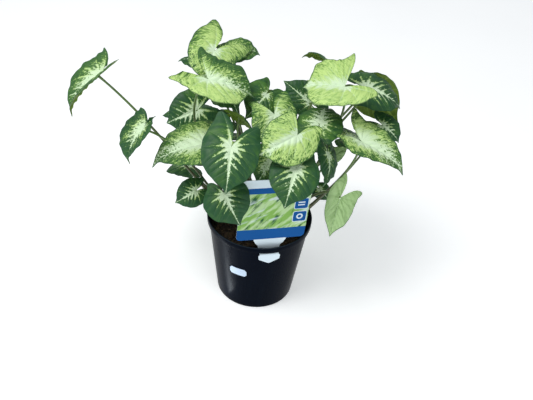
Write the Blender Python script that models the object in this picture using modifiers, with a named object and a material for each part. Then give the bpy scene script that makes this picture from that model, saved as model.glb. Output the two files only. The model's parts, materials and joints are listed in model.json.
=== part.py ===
"""A pixie syngonium growing in a round nursery pot, with its care label and a price sticker.

The pot stands on the surface at the origin, +Z is up and the label faces -Y. Sizes in the tables
are millimetres and degrees, turned into metres when a shape is made.
"""
import math
from dataclasses import dataclass

import bmesh
import bpy
import numpy as np
from mathutils import Matrix, Vector

MM = 0.001

POT_HEIGHT = 115.0
RIM_RADIUS = 65.0
RIM_BAND = 8.0
BASE_RADIUS = 49.0
WALL = 1.6
FLOOR = 2.2
WALL_TOP_RADIUS = 62.2
POT_STEPS = 40
DRAIN_HOLES = 8
DRAIN_HOLE_RADIUS = 4.5
DRAIN_RING_RADIUS = 38.0

SOIL_EDGE = 98.0
SOIL_CROWN = 103.0
SOIL_LUMP = 1.3
GAP = 0.3

LABEL_AZIMUTH = 14.0
LABEL_TILT = 3.0
LABEL_WIDTH = 81.0
LABEL_HEIGHT = 86.0
LABEL_BOTTOM = 125.0
LABEL_THICKNESS = 0.6
LABEL_RADIUS = 58.2
NECK_WIDTH = 29.0
TONGUE_WIDTH = 26.0
TONGUE_LENGTH = 13.5
TONGUE_RADIUS = 64.6
LABEL_CORNER = 5.0
SLOT_WIDTH = 29.0
SLOT_HEIGHT = 2.4
SLOT_MIDDLE = 105.8
SLOT_DEPTH = 16.0

STICKER_AZIMUTH = -21.0
STICKER_HEIGHT = 65.0
STICKER_SIZE = (22.0, 12.0)
STICKER_THICKNESS = 0.3
STICKER_CLIP = 2.6
STICKER_NOTCH = 3.5

BLADE_THICKNESS = 0.8
STALK_RADIUS = 1.7
STALK_SPANS = 7
STALK_FOOT = 1.15
STALK_TAPER = 0.8
STALK_GAP = 0.6
STALK_ROOT = 8.0
CROWN_RADIUS = 4.2
CROWN_BOTTOM = 87.0
CROWN_TOP = 108.0
CROWN_TAPER = 0.8

# A stalk's last stretch leans this much towards the blade's upward side and takes this share
# of the way, and an upright start takes these shares of it across and upward.
STALK_LEAN = 0.6
STALK_ARRIVAL = 0.3
STALK_SPREAD = 0.12
STALK_RISE = 0.42

# The outline of a blade seen from above, from the tip round one side to the notch: the angle
# at the stalk's joint, and the distance to the margin as a share of the length joint to tip.
OUTLINE = (
    (0, 1.0), (8, 0.89), (20, 0.82), (38, 0.76), (60, 0.69), (80, 0.64), (100, 0.63), (120, 0.655),
    (136, 0.71), (148, 0.765), (157, 0.70), (165, 0.55), (170, 0.34),
)
NOTCH_ANGLE = 170.0

# The lobes begin at this angle and are in full reach after this span, and their points are
# bells of this middle and span. Their swing grows with
# the square of the way round up to the knee, evenly after it. They lift in an arc as long as
# this share of the blade, and half a blade's width is this share of its length.
LOBE_START = 80.0
LOBE_SPAN = 60.0
PEAK_ANGLE = 147.0
PEAK_SPAN = 9.0
SWING_KNEE = 0.8
LOBE_ARC = 0.6
HALF_WIDTH = 0.62
COARSE_ANGLES = (0, 8, 26, 50, 78, 104, 128, 148, 160, 170)
COARSE_RINGS = (0.55, 1.0)


@dataclass(frozen=True)
class Shoot:
    """One plantlet: where its crown stands in the soil."""

    name: str
    x: float
    y: float


@dataclass(frozen=True)
class Leaf:
    """One blade and its stalk.

    joint and tip are the ends of the midrib. roll turns the blade about it, and a positive roll
    lifts the left side. width scales the width of its left and right sides, full its breadth near
    the tip, lobe the reach of its left and right lobes, peak draws them out into points, and swing
    turns them round the joint towards the notch. arch raises the middle of the midrib, fold lifts
    both sides, curl bends their margins down, and left and right lift the lobes. The stalk leaves
    the soil upright where rise is 1 and straight at the blade where it is 0, and sway pushes its
    middle aside.
    """

    name: str
    shoot: str
    joint: tuple
    tip: tuple
    roll: float
    width: tuple = (1.0, 1.0)
    full: float = 1.0
    lobe: tuple = (1.0, 1.0)
    peak: tuple = (0.04, 0.04)
    swing: tuple = (0.0, 0.0)
    arch: float = 4.0
    fold: float = 8.0
    curl: float = 25.0
    left: float = 0.0
    right: float = 0.0
    wave: float = 1.0
    rise: float = 1.0
    sway: tuple = (0.0, 0.0, 0.0)


SHOOTS = (
    Shoot("shoot_left", -34, 2),
    Shoot("shoot_front_left", -14, -28),
    Shoot("shoot_back_left", -18, 28),
    Shoot("shoot_middle", 2, 2),
    Shoot("shoot_front_right", 22, -24),
    Shoot("shoot_right", 38, 2),
    Shoot("shoot_back_right", 20, 30),
)

LEAVES = (
    Leaf("leaf_far_left", "shoot_left", (-188, 0, 289), (-218, -22, 251), 10, width=(0.9, 0.75),
         lobe=(0.8, 0.85), fold=34, curl=15, right=45, rise=0, sway=(0, 8, 0)),
    Leaf("leaf_left_low", "shoot_left", (-137, -22, 239), (-151, -43, 207), 15, width=(0.7, 0.95),
         lobe=(0.6, 0.85), swing=(25, 0), fold=28, right=45, rise=0, sway=(0, 42, -6)),
    Leaf("leaf_top_back", "shoot_back_left", (-69, 72, 295), (-75, 35, 268), -16, lobe=(1.32, 1.2),
         peak=(0.16, 0.16), swing=(-42, 32), sway=(12, 10, 0)),
    Leaf("leaf_top_front", "shoot_left", (-68, 10, 291), (-18, 14, 273), 24, width=(0.88, 0.8), full=1.14,
         lobe=(1.06, 0.9), peak=(0.14, 0.16), swing=(-52, 24), fold=18, left=30, sway=(-45, 33, -12)),
    Leaf("leaf_dark_left", "shoot_left", (-86, 48, 227), (-120, 39, 211), -60, width=(1.1, 1.1)),
    Leaf("leaf_deep_shade", "shoot_back_left", (-64, 72, 206), (-45, 66, 199), 20, lobe=(0.6, 0.6),
         sway=(8, 0, 0)),
    Leaf("leaf_left_large", "shoot_front_left", (-69, -15, 222), (-126, -32, 201), 0, width=(1.0, 1.1),
         fold=16),
    Leaf("leaf_front_star", "shoot_front_left", (-35, -65, 254), (-36, -100, 219), -5, lobe=(1.0, 1.0),
         peak=(0.0, 0.14), swing=(-22, 16), sway=(6, 28, 0)),
    Leaf("leaf_front_low", "shoot_front_left", (-39, -76, 199), (-20, -92, 171), 42, width=(1.1, 1.15),
         lobe=(0.7, 0.7)),
    Leaf("leaf_left_small", "shoot_left", (-75, -40, 173), (-97, -50, 161), -50, lobe=(0.65, 0.8)),
    Leaf("leaf_middle_pale", "shoot_front_right", (34, -45, 263), (-5, -60, 244), -50, width=(0.97, 1.0),
         full=1.05, lobe=(0.8, 0.87), swing=(26, -64), sway=(0, 26, 0)),
    Leaf("leaf_right_mid", "shoot_middle", (59, -2, 254), (66, 35, 253), 0, width=(1.2, 1.15),
         lobe=(0.9, 0.9), fold=0),
    Leaf("leaf_right_top", "shoot_right", (82, 10, 296), (38, 25, 283), -30, width=(0.85, 1.08), full=1.2,
         peak=(0.0, 0.14), swing=(31, -76), fold=20, sway=(16, 16, 0)),
    Leaf("leaf_right_back", "shoot_back_right", (110, 40, 280), (153, 38, 260), 10, width=(1.1, 1.0),
         full=1.06, lobe=(0.85, 1.0)),
    Leaf("leaf_right_tail", "shoot_back_right", (116, 76, 256), (157, 62, 226), -105, width=(0.75, 0.94),
         lobe=(0.7, 0.7), arch=6),
    Leaf("leaf_edge_on", "shoot_back_right", (62, 60, 302), (34, 64, 302), 38, fold=0),
    Leaf("leaf_right_pale", "shoot_right", (107, -20, 246), (155, -44, 227), 6, width=(0.88, 0.85),
         full=0.86, lobe=(0.95, 0.62), peak=(0.12, 0.08), swing=(-20, 10), fold=22, left=40, rise=0.3,
         sway=(16, 0, -8)),
    Leaf("leaf_right_small", "shoot_right", (134, 24, 242), (154, 13, 228), 30, rise=0, sway=(0, 0, -26)),
    Leaf("leaf_right_low", "shoot_right", (89, -50, 188), (81, -77, 154), -8, width=(0.68, 0.5),
         lobe=(0.98, 0.8), peak=(0.1, 0.1), swing=(-54, 42), sway=(0, 0, 30)),
    Leaf("leaf_label_dark", "shoot_front_right", (36, -60, 230), (27, -90, 199), -12, lobe=(0.75, 0.75),
         sway=(0, 14, 0)),
    Leaf("leaf_right_inner", "shoot_right", (72, -20, 224), (70, -42, 196), -55, width=(0.8, 0.8)),
    Leaf("leaf_young_green", "shoot_right", (76, 0, 207), (96, 10, 217), 40, width=(0.6, 0.6),
         lobe=(0.7, 0.7), arch=1),
    Leaf("leaf_low_inner", "shoot_right", (72, 32, 138), (84, 26, 125), 35, lobe=(0.6, 0.6), fold=0),
    Leaf("leaf_centre_pale", "shoot_middle", (8, 0, 259), (0, -30, 232), -15, peak=(0.12, 0.12),
         swing=(35, -65)),
    Leaf("leaf_centre_top", "shoot_back_left", (-4, 30, 266), (-24, 7, 247), -38, lobe=(0.8, 0.8)),
    Leaf("leaf_centre_under", "shoot_back_right", (14, 78, 240), (42, 72, 226), -50),
    Leaf("leaf_small_dark", "shoot_middle", (48, 52, 248), (16, 66, 266), -50, width=(0.8, 0.8),
         lobe=(0.8, 0.8)),
    Leaf("leaf_middle_olive", "shoot_middle", (-31, 5, 248), (-16, -12, 238), -60),
    Leaf("leaf_mottled_low", "shoot_middle", (8, -35, 222), (-6, -56, 202), -35),
    Leaf("leaf_back_left", "shoot_back_left", (-88, 95, 268), (-115, 100, 264), 0, arch=2,
         sway=(28, 14, -12)),
    Leaf("leaf_back_top", "shoot_back_left", (-46, 100, 284), (-16, 106, 279), 20),
    Leaf("leaf_under_top", "shoot_back_left", (-48, 25, 269), (-34, -5, 262), 20, sway=(10, 5, 0)),
    Leaf("leaf_rear_one", "shoot_back_left", (-20, 116, 218), (-34, 148, 192), 0),
    Leaf("leaf_rear_two", "shoot_back_right", (24, 126, 212), (36, 162, 188), 0),
    Leaf("leaf_rear_three", "shoot_back_right", (76, 108, 240), (104, 142, 212), 0),
    Leaf("leaf_rear_four", "shoot_back_left", (-102, 92, 200), (-134, 112, 178), 0),
    Leaf("leaf_rear_five", "shoot_back_right", (4, 112, 160), (6, 144, 140), 0),
    Leaf("leaf_rear_six", "shoot_back_left", (-60, 106, 152), (-86, 132, 128), 0),
    Leaf("leaf_rear_seven", "shoot_back_right", (58, 92, 168), (80, 128, 140), 0),
    Leaf("leaf_rear_eight", "shoot_left", (-96, 52, 142), (-126, 64, 124), 0),
    Leaf("leaf_rear_nine", "shoot_back_right", (104, 70, 192), (136, 84, 170), 0),
)


def clear_scene():
    """Remove whatever the open file holds, so that only this object is left."""
    for item in list(bpy.data.objects):
        bpy.data.objects.remove(item, do_unlink=True)


def make_collection(name):
    """Return a new collection in the scene."""
    group = bpy.data.collections.new(name)
    bpy.context.scene.collection.children.link(group)
    return group


def make_material(name, colour, roughness, metallic=0.0):
    """Return a Principled material of one colour."""
    material = bpy.data.materials.new(name)
    material.use_nodes = True
    shader = material.node_tree.nodes["Principled BSDF"]
    shader.inputs["Base Color"].default_value = (*colour, 1.0)
    shader.inputs["Roughness"].default_value = roughness
    shader.inputs["Metallic"].default_value = metallic
    return material


def add_mesh(name, points, faces, group, material):
    """Return a new object from points in millimetres and faces."""
    mesh = bpy.data.meshes.new(name)
    mesh.from_pydata([tuple(p * MM for p in point) for point in points], [], faces)
    mesh.update()
    item = bpy.data.objects.new(name, mesh)
    group.objects.link(item)
    mesh.materials.append(material)
    return item


def bake(item):
    """Replace an object's mesh by its evaluated one and drop the modifiers."""
    graph = bpy.context.evaluated_depsgraph_get()
    mesh = bpy.data.meshes.new_from_object(item.evaluated_get(graph))
    item.modifiers.clear()
    item.data = mesh


def turned(name, profile, group, material, steps=POT_STEPS):
    """Return a turned shape from a profile of (radius, height) points."""
    edges = [(i, i + 1) for i in range(len(profile) - 1)]
    mesh = bpy.data.meshes.new(name)
    mesh.from_pydata([(r * MM, 0.0, z * MM) for r, z in profile], edges, [])
    item = bpy.data.objects.new(name, mesh)
    group.objects.link(item)
    mesh.materials.append(material)
    screw = item.modifiers.new("turn", "SCREW")
    screw.steps = steps
    screw.render_steps = steps
    screw.use_merge_vertices = True
    screw.merge_threshold = 0.0001
    bpy.context.view_layer.update()
    return item


def cutter(name, kind, group, **sizes):
    """Return a hidden cutting shape: a box or an upright cylinder at the origin."""
    shape = bmesh.new()
    if kind == "box":
        bmesh.ops.create_cube(shape, size=1.0)
    else:
        bmesh.ops.create_cone(shape, cap_ends=True, segments=sizes["sides"], radius1=sizes["radius"] * MM,
                              radius2=sizes["radius"] * MM, depth=sizes["depth"] * MM)
    mesh = bpy.data.meshes.new(name)
    shape.to_mesh(mesh)
    shape.free()
    item = bpy.data.objects.new(name, mesh)
    if kind == "box":
        mesh.transform(Matrix.Diagonal((*(s * MM for s in sizes["size"]), 1.0)))
    item.hide_render = True
    item.display_type = "WIRE"
    group.objects.link(item)
    return item


def cut(item, group):
    """Cut an object by every object of a collection."""
    boolean = item.modifiers.new("cut", "BOOLEAN")
    boolean.operation = "DIFFERENCE"
    boolean.operand_type = "COLLECTION"
    boolean.collection = group
    boolean.solver = "EXACT"


def label_frame():
    """Return the label's tangent, outward and upward directions."""
    angle = math.radians(LABEL_AZIMUTH)
    across = Vector((math.cos(angle), math.sin(angle), 0.0))
    out = Vector((math.sin(angle), -math.cos(angle), 0.0))
    return across, out, Vector((0.0, 0.0, 1.0))


def wall_radius(height):
    """Return the outer radius of the pot's wall at a height, in millimetres."""
    share = height / (POT_HEIGHT - RIM_BAND)
    return BASE_RADIUS + (WALL_TOP_RADIUS - BASE_RADIUS) * share


def make_pot(parts):
    """The thin-walled pot: a tapered wall, a rim band, drain holes and the label's slot."""
    band_bottom = POT_HEIGHT - RIM_BAND
    profile = (
        (0.0, FLOOR),
        (BASE_RADIUS - WALL - 1.0, FLOOR),
        (WALL_TOP_RADIUS - WALL, band_bottom),
        (RIM_RADIUS - WALL - 0.7, band_bottom + 1.5),
        (RIM_RADIUS - WALL - 0.2, POT_HEIGHT - 0.4),
        (RIM_RADIUS - WALL + 0.4, POT_HEIGHT),
        (RIM_RADIUS - 0.5, POT_HEIGHT),
        (RIM_RADIUS, POT_HEIGHT - 0.6),
        (RIM_RADIUS - 0.5, band_bottom + 0.4),
        (RIM_RADIUS - 0.9, band_bottom),
        (WALL_TOP_RADIUS, band_bottom - 0.4),
        (BASE_RADIUS, 1.2),
        (BASE_RADIUS - 1.0, 0.0),
        (0.0, 0.0),
    )
    material = make_material("pot black plastic", (0.012, 0.014, 0.018), 0.38)
    pot = turned("pot", profile, parts, material)
    holes = make_collection("pot cutters")
    for k in range(DRAIN_HOLES):
        angle = 2 * math.pi * (k + 0.5) / DRAIN_HOLES
        hole = cutter(f"drain cutter {k}", "round", holes, sides=16, radius=DRAIN_HOLE_RADIUS,
                      depth=6 * FLOOR)
        ring = DRAIN_RING_RADIUS * MM
        hole.location = (ring * math.cos(angle), ring * math.sin(angle), 0.0)
    slot = cutter("slot cutter", "box", holes, size=(SLOT_WIDTH, SLOT_DEPTH, SLOT_HEIGHT))
    _, out, up = label_frame()
    slot.location = (out * WALL_TOP_RADIUS + up * SLOT_MIDDLE) * MM
    slot.rotation_euler = (0.0, 0.0, math.radians(LABEL_AZIMUTH))
    cut(pot, holes)


def make_soil(parts):
    """The crumbly potting soil, a filling with a lumpy top and a plain hole for each crown."""
    floor = FLOOR + GAP
    inner = BASE_RADIUS - WALL - 1.0 - GAP - 0.1
    top = wall_radius(SOIL_EDGE) - WALL - GAP - 0.5
    profile = [(0.0, SOIL_CROWN)]
    profile += [(top * share, SOIL_CROWN + (SOIL_EDGE - SOIL_CROWN) * share ** 2) for share in
                (0.2, 0.4, 0.6, 0.8, 0.93)]
    profile += [(top, SOIL_EDGE), (inner, floor), (0.0, floor)]
    material = make_material("soil", (0.035, 0.022, 0.014), 0.95)
    soil = turned("soil", profile, parts, material, steps=32)
    bake(soil)
    for vertex in soil.data.vertices:
        x, y, z = (c / MM for c in vertex.co)
        if z > SOIL_EDGE - 0.5:
            lump = math.sin(x * 0.55 + 1.3) * math.cos(y * 0.47) + 0.6 * math.sin(x * 0.9 - y * 1.1)
            inward = min(1.0, (top - math.hypot(x, y)) / 6.0)
            vertex.co.z += SOIL_LUMP * lump * max(inward, 0.0) * MM
    holes = make_collection("soil cutters")
    for shoot in SHOOTS:
        depth = 2 * (CROWN_TOP - CROWN_BOTTOM)
        hole = cutter(f"hole for {shoot.name}", "round", holes, sides=10, radius=CROWN_RADIUS + 0.5,
                      depth=depth)
        hole.location = (shoot.x * MM, shoot.y * MM, (CROWN_BOTTOM - GAP + depth / 2) * MM)
    cut(soil, holes)


def make_label(parts):
    """The care label: a card, its neck, and the tongue that passes out through the slot."""
    half = LABEL_WIDTH / 2
    corner = LABEL_CORNER
    neck = NECK_WIDTH / 2
    tongue = TONGUE_WIDTH / 2
    bottom = LABEL_BOTTOM
    top = bottom + LABEL_HEIGHT
    # Each row: half width, distance out from the pot's axis, height.
    rows = [
        (half - corner, LABEL_RADIUS, top),
        (half - corner * 0.3, LABEL_RADIUS, top - corner * 0.3),
        (half, LABEL_RADIUS, top - corner),
        (half, LABEL_RADIUS, bottom + corner),
        (half - corner * 0.3, LABEL_RADIUS, bottom + corner * 0.3),
        (half - corner, LABEL_RADIUS, bottom),
        (neck + 5.0, LABEL_RADIUS, bottom - 0.05),
        (neck + 2.5, LABEL_RADIUS, bottom - 6.5),
        (neck - 1.5, LABEL_RADIUS, bottom - 10.0),
        (tongue - 1.5, LABEL_RADIUS, SLOT_MIDDLE + 2.2),
        (tongue - 1.5, LABEL_RADIUS + 1.0, SLOT_MIDDLE + 0.6),
        (tongue - 1.5, LABEL_RADIUS + 2.0, SLOT_MIDDLE),
        (tongue - 1.5, TONGUE_RADIUS - 1.0, SLOT_MIDDLE - 0.1),
        (tongue, TONGUE_RADIUS, SLOT_MIDDLE - 1.2),
        (tongue - 0.6, TONGUE_RADIUS, SLOT_MIDDLE - TONGUE_LENGTH * 0.55),
        (1.0, TONGUE_RADIUS, SLOT_MIDDLE - TONGUE_LENGTH),
    ]
    across, out, up = label_frame()
    points, faces = [], []
    for width, radius, height in rows:
        lean = math.tan(math.radians(LABEL_TILT)) * max(height - POT_HEIGHT, 0.0)
        for side in (-1, 1):
            points.append(tuple(across * (side * width + lean) + out * radius + up * height))
    for i in range(len(rows) - 1):
        faces.append((2 * i, 2 * i + 2, 2 * i + 3, 2 * i + 1))
    material = make_material("label card", (0.55, 0.68, 0.62), 0.4)
    label = add_mesh("label", points, faces, parts, material)
    solid = label.modifiers.new("card", "SOLIDIFY")
    solid.thickness = LABEL_THICKNESS * MM
    solid.offset = 0.0
    solid.use_even_offset = True


def make_sticker(parts):
    """The price sticker: a bare clipped label that follows the pot's wall."""
    length, height = STICKER_SIZE
    half, tall, clip, notch = length / 2, height / 2, STICKER_CLIP, STICKER_NOTCH
    columns = [(-half, tall - clip), (-half + clip, tall), (-notch, tall), (notch, tall),
               (half - clip, tall), (half, tall - clip)]
    points, faces = [], []
    for along, rise in columns:
        for side in (-1, 1):
            z = STICKER_HEIGHT + side * rise
            radius = wall_radius(z) + GAP + STICKER_THICKNESS / 2
            angle = math.radians(STICKER_AZIMUTH) + along / radius
            points.append((radius * math.sin(angle), -radius * math.cos(angle), z))
    for i in range(len(columns) - 1):
        faces.append((2 * i, 2 * i + 2, 2 * i + 3, 2 * i + 1))
    material = make_material("sticker paper", (0.8, 0.82, 0.85), 0.6)
    sticker = add_mesh("price_sticker", points, faces, parts, material)
    solid = sticker.modifiers.new("paper", "SOLIDIFY")
    solid.thickness = STICKER_THICKNESS * MM
    solid.offset = 0.0


def outline_radius(side_angle, leaf):
    """Return the margin's distance from the joint, as a share of the length.

    The table's points are joined by a smooth curve. The breadth is scaled by a sine bump ahead of
    the joint, and the lobes behind it, which a narrow bell curve draws out into points.
    """
    angle = abs(side_angle)
    angles = np.array([a for a, _ in OUTLINE], dtype=float)
    radii = np.array([r for _, r in OUTLINE], dtype=float)
    slopes = np.gradient(radii, angles)
    slopes[0] = (radii[1] - radii[0]) / (angles[1] - angles[0])
    i = int(np.clip(np.searchsorted(angles, angle, side="right") - 1, 0, len(angles) - 2))
    h = angles[i + 1] - angles[i]
    t = (angle - angles[i]) / h
    radius = ((2 * t ** 3 - 3 * t ** 2 + 1) * radii[i] + (t ** 3 - 2 * t ** 2 + t) * h * slopes[i]
              + (3 * t ** 2 - 2 * t ** 3) * radii[i + 1] + (t ** 3 - t ** 2) * h * slopes[i + 1])
    back = min(max((angle - LOBE_START) / LOBE_SPAN, 0.0), 1.0)
    lobe = leaf.lobe[0] if side_angle > 0 else leaf.lobe[1]
    bump = math.sin(math.radians(2.0 * min(angle, 90.0))) ** 2
    peak = leaf.peak[0] if side_angle > 0 else leaf.peak[1]
    point = peak * math.exp(-((angle - PEAK_ANGLE) / PEAK_SPAN) ** 2)
    return radius * (1.0 + (lobe - 1.0) * back * back * (3 - 2 * back) + point
                     + (leaf.full - 1.0) * bump)


def blade_axes(leaf):
    """Return the length joint to tip and the blade's forward, left and upward directions."""
    span = Vector(leaf.tip) - Vector(leaf.joint)
    forward = span.normalized()
    level = Vector((0.0, 0.0, 1.0)).cross(forward).normalized()
    left = Matrix.Rotation(math.radians(leaf.roll), 3, forward) @ level
    return span.length, forward, left, forward.cross(left)


def blade_point(leaf, side_angle, share):
    """Return a point of the blade's middle surface in millimetres.

    side_angle is measured at the joint from the tip, positive to the left, and share runs from
    0 at the joint to 1 on the margin. Both sides bend in arcs, so lengths in them are kept.
    """
    length, forward, left, up = blade_axes(leaf)
    angle = abs(side_angle)
    radius = outline_radius(side_angle, leaf) * length * share
    which = 0 if side_angle > 0 else 1
    part = angle / NOTCH_ANGLE
    pull = leaf.swing[which] * math.copysign(1.0, side_angle)
    knee = SWING_KNEE
    swing = side_angle + pull * (part ** 2 if part < knee else part - knee * (1.0 - knee))
    x = radius * math.cos(math.radians(swing))
    y = radius * math.sin(math.radians(swing)) * leaf.width[which]
    side = 1.0 if y >= 0 else -1.0
    z = 0.0
    if x < 0:
        lift = math.radians(leaf.left if y >= 0 else leaf.right)
        bend = lift / (LOBE_ARC * length)
        if abs(bend) > 1e-6:
            z += (1.0 - math.cos(bend * x)) / bend
            x = math.sin(bend * x) / bend
    out = abs(y)
    half = HALF_WIDTH * length * leaf.width[which]
    tilt = math.radians(leaf.fold - leaf.curl * out / (2.0 * half))
    y = side * out * math.cos(tilt)
    z += out * math.sin(tilt)
    t = x / length
    z += 4.0 * leaf.arch * (t * (1.0 - t) if t > 0 else t)
    z += leaf.wave * share ** 2 * math.sin(math.radians(side_angle * 3.0) + leaf.joint[0])
    return Vector(leaf.joint) + forward * x + left * y + up * z


def make_blade(leaf, parts, material):
    """One leaf blade: a fan of rays from the joint to the margin, made solid."""
    angles = [-a for a in reversed(COARSE_ANGLES)] + list(COARSE_ANGLES[1:])
    points = [tuple(blade_point(leaf, 0.0, 0.0))]
    for share in COARSE_RINGS:
        for angle in angles:
            points.append(tuple(blade_point(leaf, angle, share)))
    count = len(angles)
    faces = [(0, 1 + i, 2 + i) for i in range(count - 1)]
    for ring in range(len(COARSE_RINGS) - 1):
        a = 1 + ring * count
        b = a + count
        for i in range(count - 1):
            if i < count // 2:
                faces += [(a + i, b + i, b + i + 1), (a + i, b + i + 1, a + i + 1)]
            else:
                faces += [(a + i, b + i, a + i + 1), (b + i, b + i + 1, a + i + 1)]
    blade = add_mesh(leaf.name, points, faces, parts, material)
    blade.data.shade_smooth()
    solid = blade.modifiers.new("blade", "SOLIDIFY")
    solid.thickness = BLADE_THICKNESS * MM
    solid.offset = 0.0


def stalk_route(leaf, shoot):
    """Return the stalk's points from its crown to just under the blade's joint.

    They lie on a cubic curve whose last stretch leans towards the blade's upward side. The stalk
    stops short by as much as its end leans, so that its round edge clears the blade.
    """
    up = blade_axes(leaf)[3]
    joint = Vector(leaf.joint)
    start = Vector((shoot.x, shoot.y, CROWN_TOP - STALK_ROOT))
    reach = joint - start
    sway = Vector(leaf.sway)
    leaning = (reach.normalized() + up * STALK_LEAN).normalized()
    arrive = leaning * reach.length * STALK_ARRIVAL - sway
    slant = math.sqrt(max(0.0, 1.0 - arrive.normalized().dot(up) ** 2))
    end = joint - up * (BLADE_THICKNESS / 2 + STALK_GAP + STALK_RADIUS * STALK_TAPER * slant)
    upright = Vector((STALK_SPREAD * reach.x, STALK_SPREAD * reach.y, STALK_RISE * reach.z))
    first = start + (reach / 3).lerp(upright, leaf.rise) + sway * 0.5
    second = end - arrive
    route = []
    for k in range(STALK_SPANS + 1):
        t = k / STALK_SPANS
        s = 1.0 - t
        route.append(start * s ** 3 + first * 3 * s * s * t + second * 3 * s * t * t + end * t ** 3)
    return route


def make_stalk(leaf, shoot, group):
    """One leaf stalk as a tapering tube, turned into a closed mesh."""
    route = stalk_route(leaf, shoot)
    curve = bpy.data.curves.new(f"{leaf.name} stalk", "CURVE")
    curve.dimensions = "3D"
    curve.bevel_depth = STALK_RADIUS * MM
    curve.bevel_resolution = 1
    curve.use_fill_caps = True
    spline = curve.splines.new("POLY")
    spline.points.add(len(route) - 1)
    for k, (point, place) in enumerate(zip(spline.points, route)):
        point.co = (*(place * MM), 1.0)
        point.radius = STALK_FOOT + (STALK_TAPER - STALK_FOOT) * k / (len(route) - 1)
    guide = bpy.data.objects.new(curve.name, curve)
    group.objects.link(guide)
    graph = bpy.context.evaluated_depsgraph_get()
    mesh = bpy.data.meshes.new_from_object(guide.evaluated_get(graph))
    shape = bmesh.new()
    shape.from_mesh(mesh)
    bmesh.ops.remove_doubles(shape, verts=shape.verts, dist=0.00002)
    bmesh.ops.recalc_face_normals(shape, faces=shape.faces)
    shape.to_mesh(mesh)
    shape.free()
    tube = bpy.data.objects.new(curve.name, mesh)
    tube.matrix_world = guide.matrix_world
    bpy.data.objects.remove(guide, do_unlink=True)
    group.objects.link(tube)


def make_shoot(shoot, leaves, parts, material):
    """One plantlet's crown with its leaf stalks, fused into one body."""
    mesh = bpy.data.meshes.new(shoot.name)
    shape = bmesh.new()
    bmesh.ops.create_cone(shape, cap_ends=True, segments=10, radius1=CROWN_RADIUS * MM,
                          radius2=CROWN_RADIUS * CROWN_TAPER * MM, depth=(CROWN_TOP - CROWN_BOTTOM) * MM)
    shape.to_mesh(mesh)
    shape.free()
    middle = (CROWN_TOP + CROWN_BOTTOM) / 2
    mesh.transform(Matrix.Translation((shoot.x * MM, shoot.y * MM, middle * MM)))
    crown = bpy.data.objects.new(shoot.name, mesh)
    parts.objects.link(crown)
    mesh.materials.append(material)
    stalks = make_collection(f"{shoot.name} stalks")
    for leaf in leaves:
        if leaf.shoot == shoot.name:
            make_stalk(leaf, shoot, stalks)
    union = crown.modifiers.new("join", "BOOLEAN")
    union.operation = "UNION"
    union.operand_type = "COLLECTION"
    union.collection = stalks
    union.solver = "EXACT"
    bpy.context.view_layer.update()
    bake(crown)
    for item in list(stalks.objects):
        bpy.data.objects.remove(item, do_unlink=True)
    bpy.data.collections.remove(stalks)
    crown.data.shade_smooth()


def main():
    """Build the potted plant."""
    clear_scene()
    parts = make_collection("potted pixie syngonium")
    make_pot(parts)
    make_soil(parts)
    make_label(parts)
    make_sticker(parts)
    stalk_green = make_material("stalk", (0.16, 0.2, 0.07), 0.5)
    blade_green = make_material("leaf", (0.14, 0.32, 0.12), 0.4)
    for shoot in SHOOTS:
        make_shoot(shoot, LEAVES, parts, stalk_green)
    for leaf in LEAVES:
        make_blade(leaf, parts, blade_green)


main()
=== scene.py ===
"""The look of a pixie syngonium in a nursery pot: pot, soil, card, sticker, stalks and leaves.

Lengths in the tables are millimetres and angles degrees; meshes are made in metres. The pot stands
on the floor at the origin, +Z is up and the card faces -Y. Each leaf is a grid in polar
coordinates round the point where its stalk meets it.
"""

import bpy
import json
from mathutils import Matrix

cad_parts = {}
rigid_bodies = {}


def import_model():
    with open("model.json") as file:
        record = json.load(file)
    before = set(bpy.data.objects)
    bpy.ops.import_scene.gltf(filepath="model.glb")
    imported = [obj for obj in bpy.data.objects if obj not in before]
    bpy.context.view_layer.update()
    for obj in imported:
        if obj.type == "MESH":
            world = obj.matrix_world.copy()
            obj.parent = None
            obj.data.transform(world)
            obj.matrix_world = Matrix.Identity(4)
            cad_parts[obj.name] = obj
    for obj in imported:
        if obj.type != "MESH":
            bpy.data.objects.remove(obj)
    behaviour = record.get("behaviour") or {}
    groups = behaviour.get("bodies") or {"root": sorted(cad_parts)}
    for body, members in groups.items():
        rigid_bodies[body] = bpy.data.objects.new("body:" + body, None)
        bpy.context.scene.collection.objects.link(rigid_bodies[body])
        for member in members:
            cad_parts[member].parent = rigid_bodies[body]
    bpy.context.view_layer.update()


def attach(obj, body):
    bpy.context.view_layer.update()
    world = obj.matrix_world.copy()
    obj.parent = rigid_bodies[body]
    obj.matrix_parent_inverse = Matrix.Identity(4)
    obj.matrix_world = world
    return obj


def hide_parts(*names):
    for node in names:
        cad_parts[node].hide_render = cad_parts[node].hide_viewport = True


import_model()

import json
import logging
import math
from dataclasses import dataclass, replace
from enum import Enum

import bpy
import numpy as np
from mathutils import Matrix, Vector

LOG = logging.getLogger("potted_syngonium")
MM = 0.001
ROUND = 2.0 * math.pi
BODY = "root"
Array = np.ndarray
Socket = bpy.types.NodeSocket
Pair = tuple[float, float]
Place = tuple[float, float, float]
Colour = tuple[float, float, float, float]


class Side(Enum):
    """Which face of a leaf a finish is for."""

    UPPER = "upper"
    LOWER = "lower"


class Tone(Enum):
    """The green that a leaf has between its pale markings."""

    DARK = 0.0
    MOSSY = 0.2
    MIDDLE = 0.5
    LIGHT = 1.0
    PLAIN = 2.0


class Sign(Enum):
    """What a badge on the card holds."""

    RING = 0
    BARS = 1
    DISC = 2


def colour(red: float, green: float, blue: float) -> Colour:
    """Return an opaque colour."""
    return (red, green, blue, 1.0)


def smooth(low: float, high: float, value: Array) -> Array:
    """Return 0 below low, 1 above high and a smooth climb between them."""
    t = np.clip((value - low) / (high - low), 0.0, 1.0)
    return t * t * (3.0 - 2.0 * t)


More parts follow.
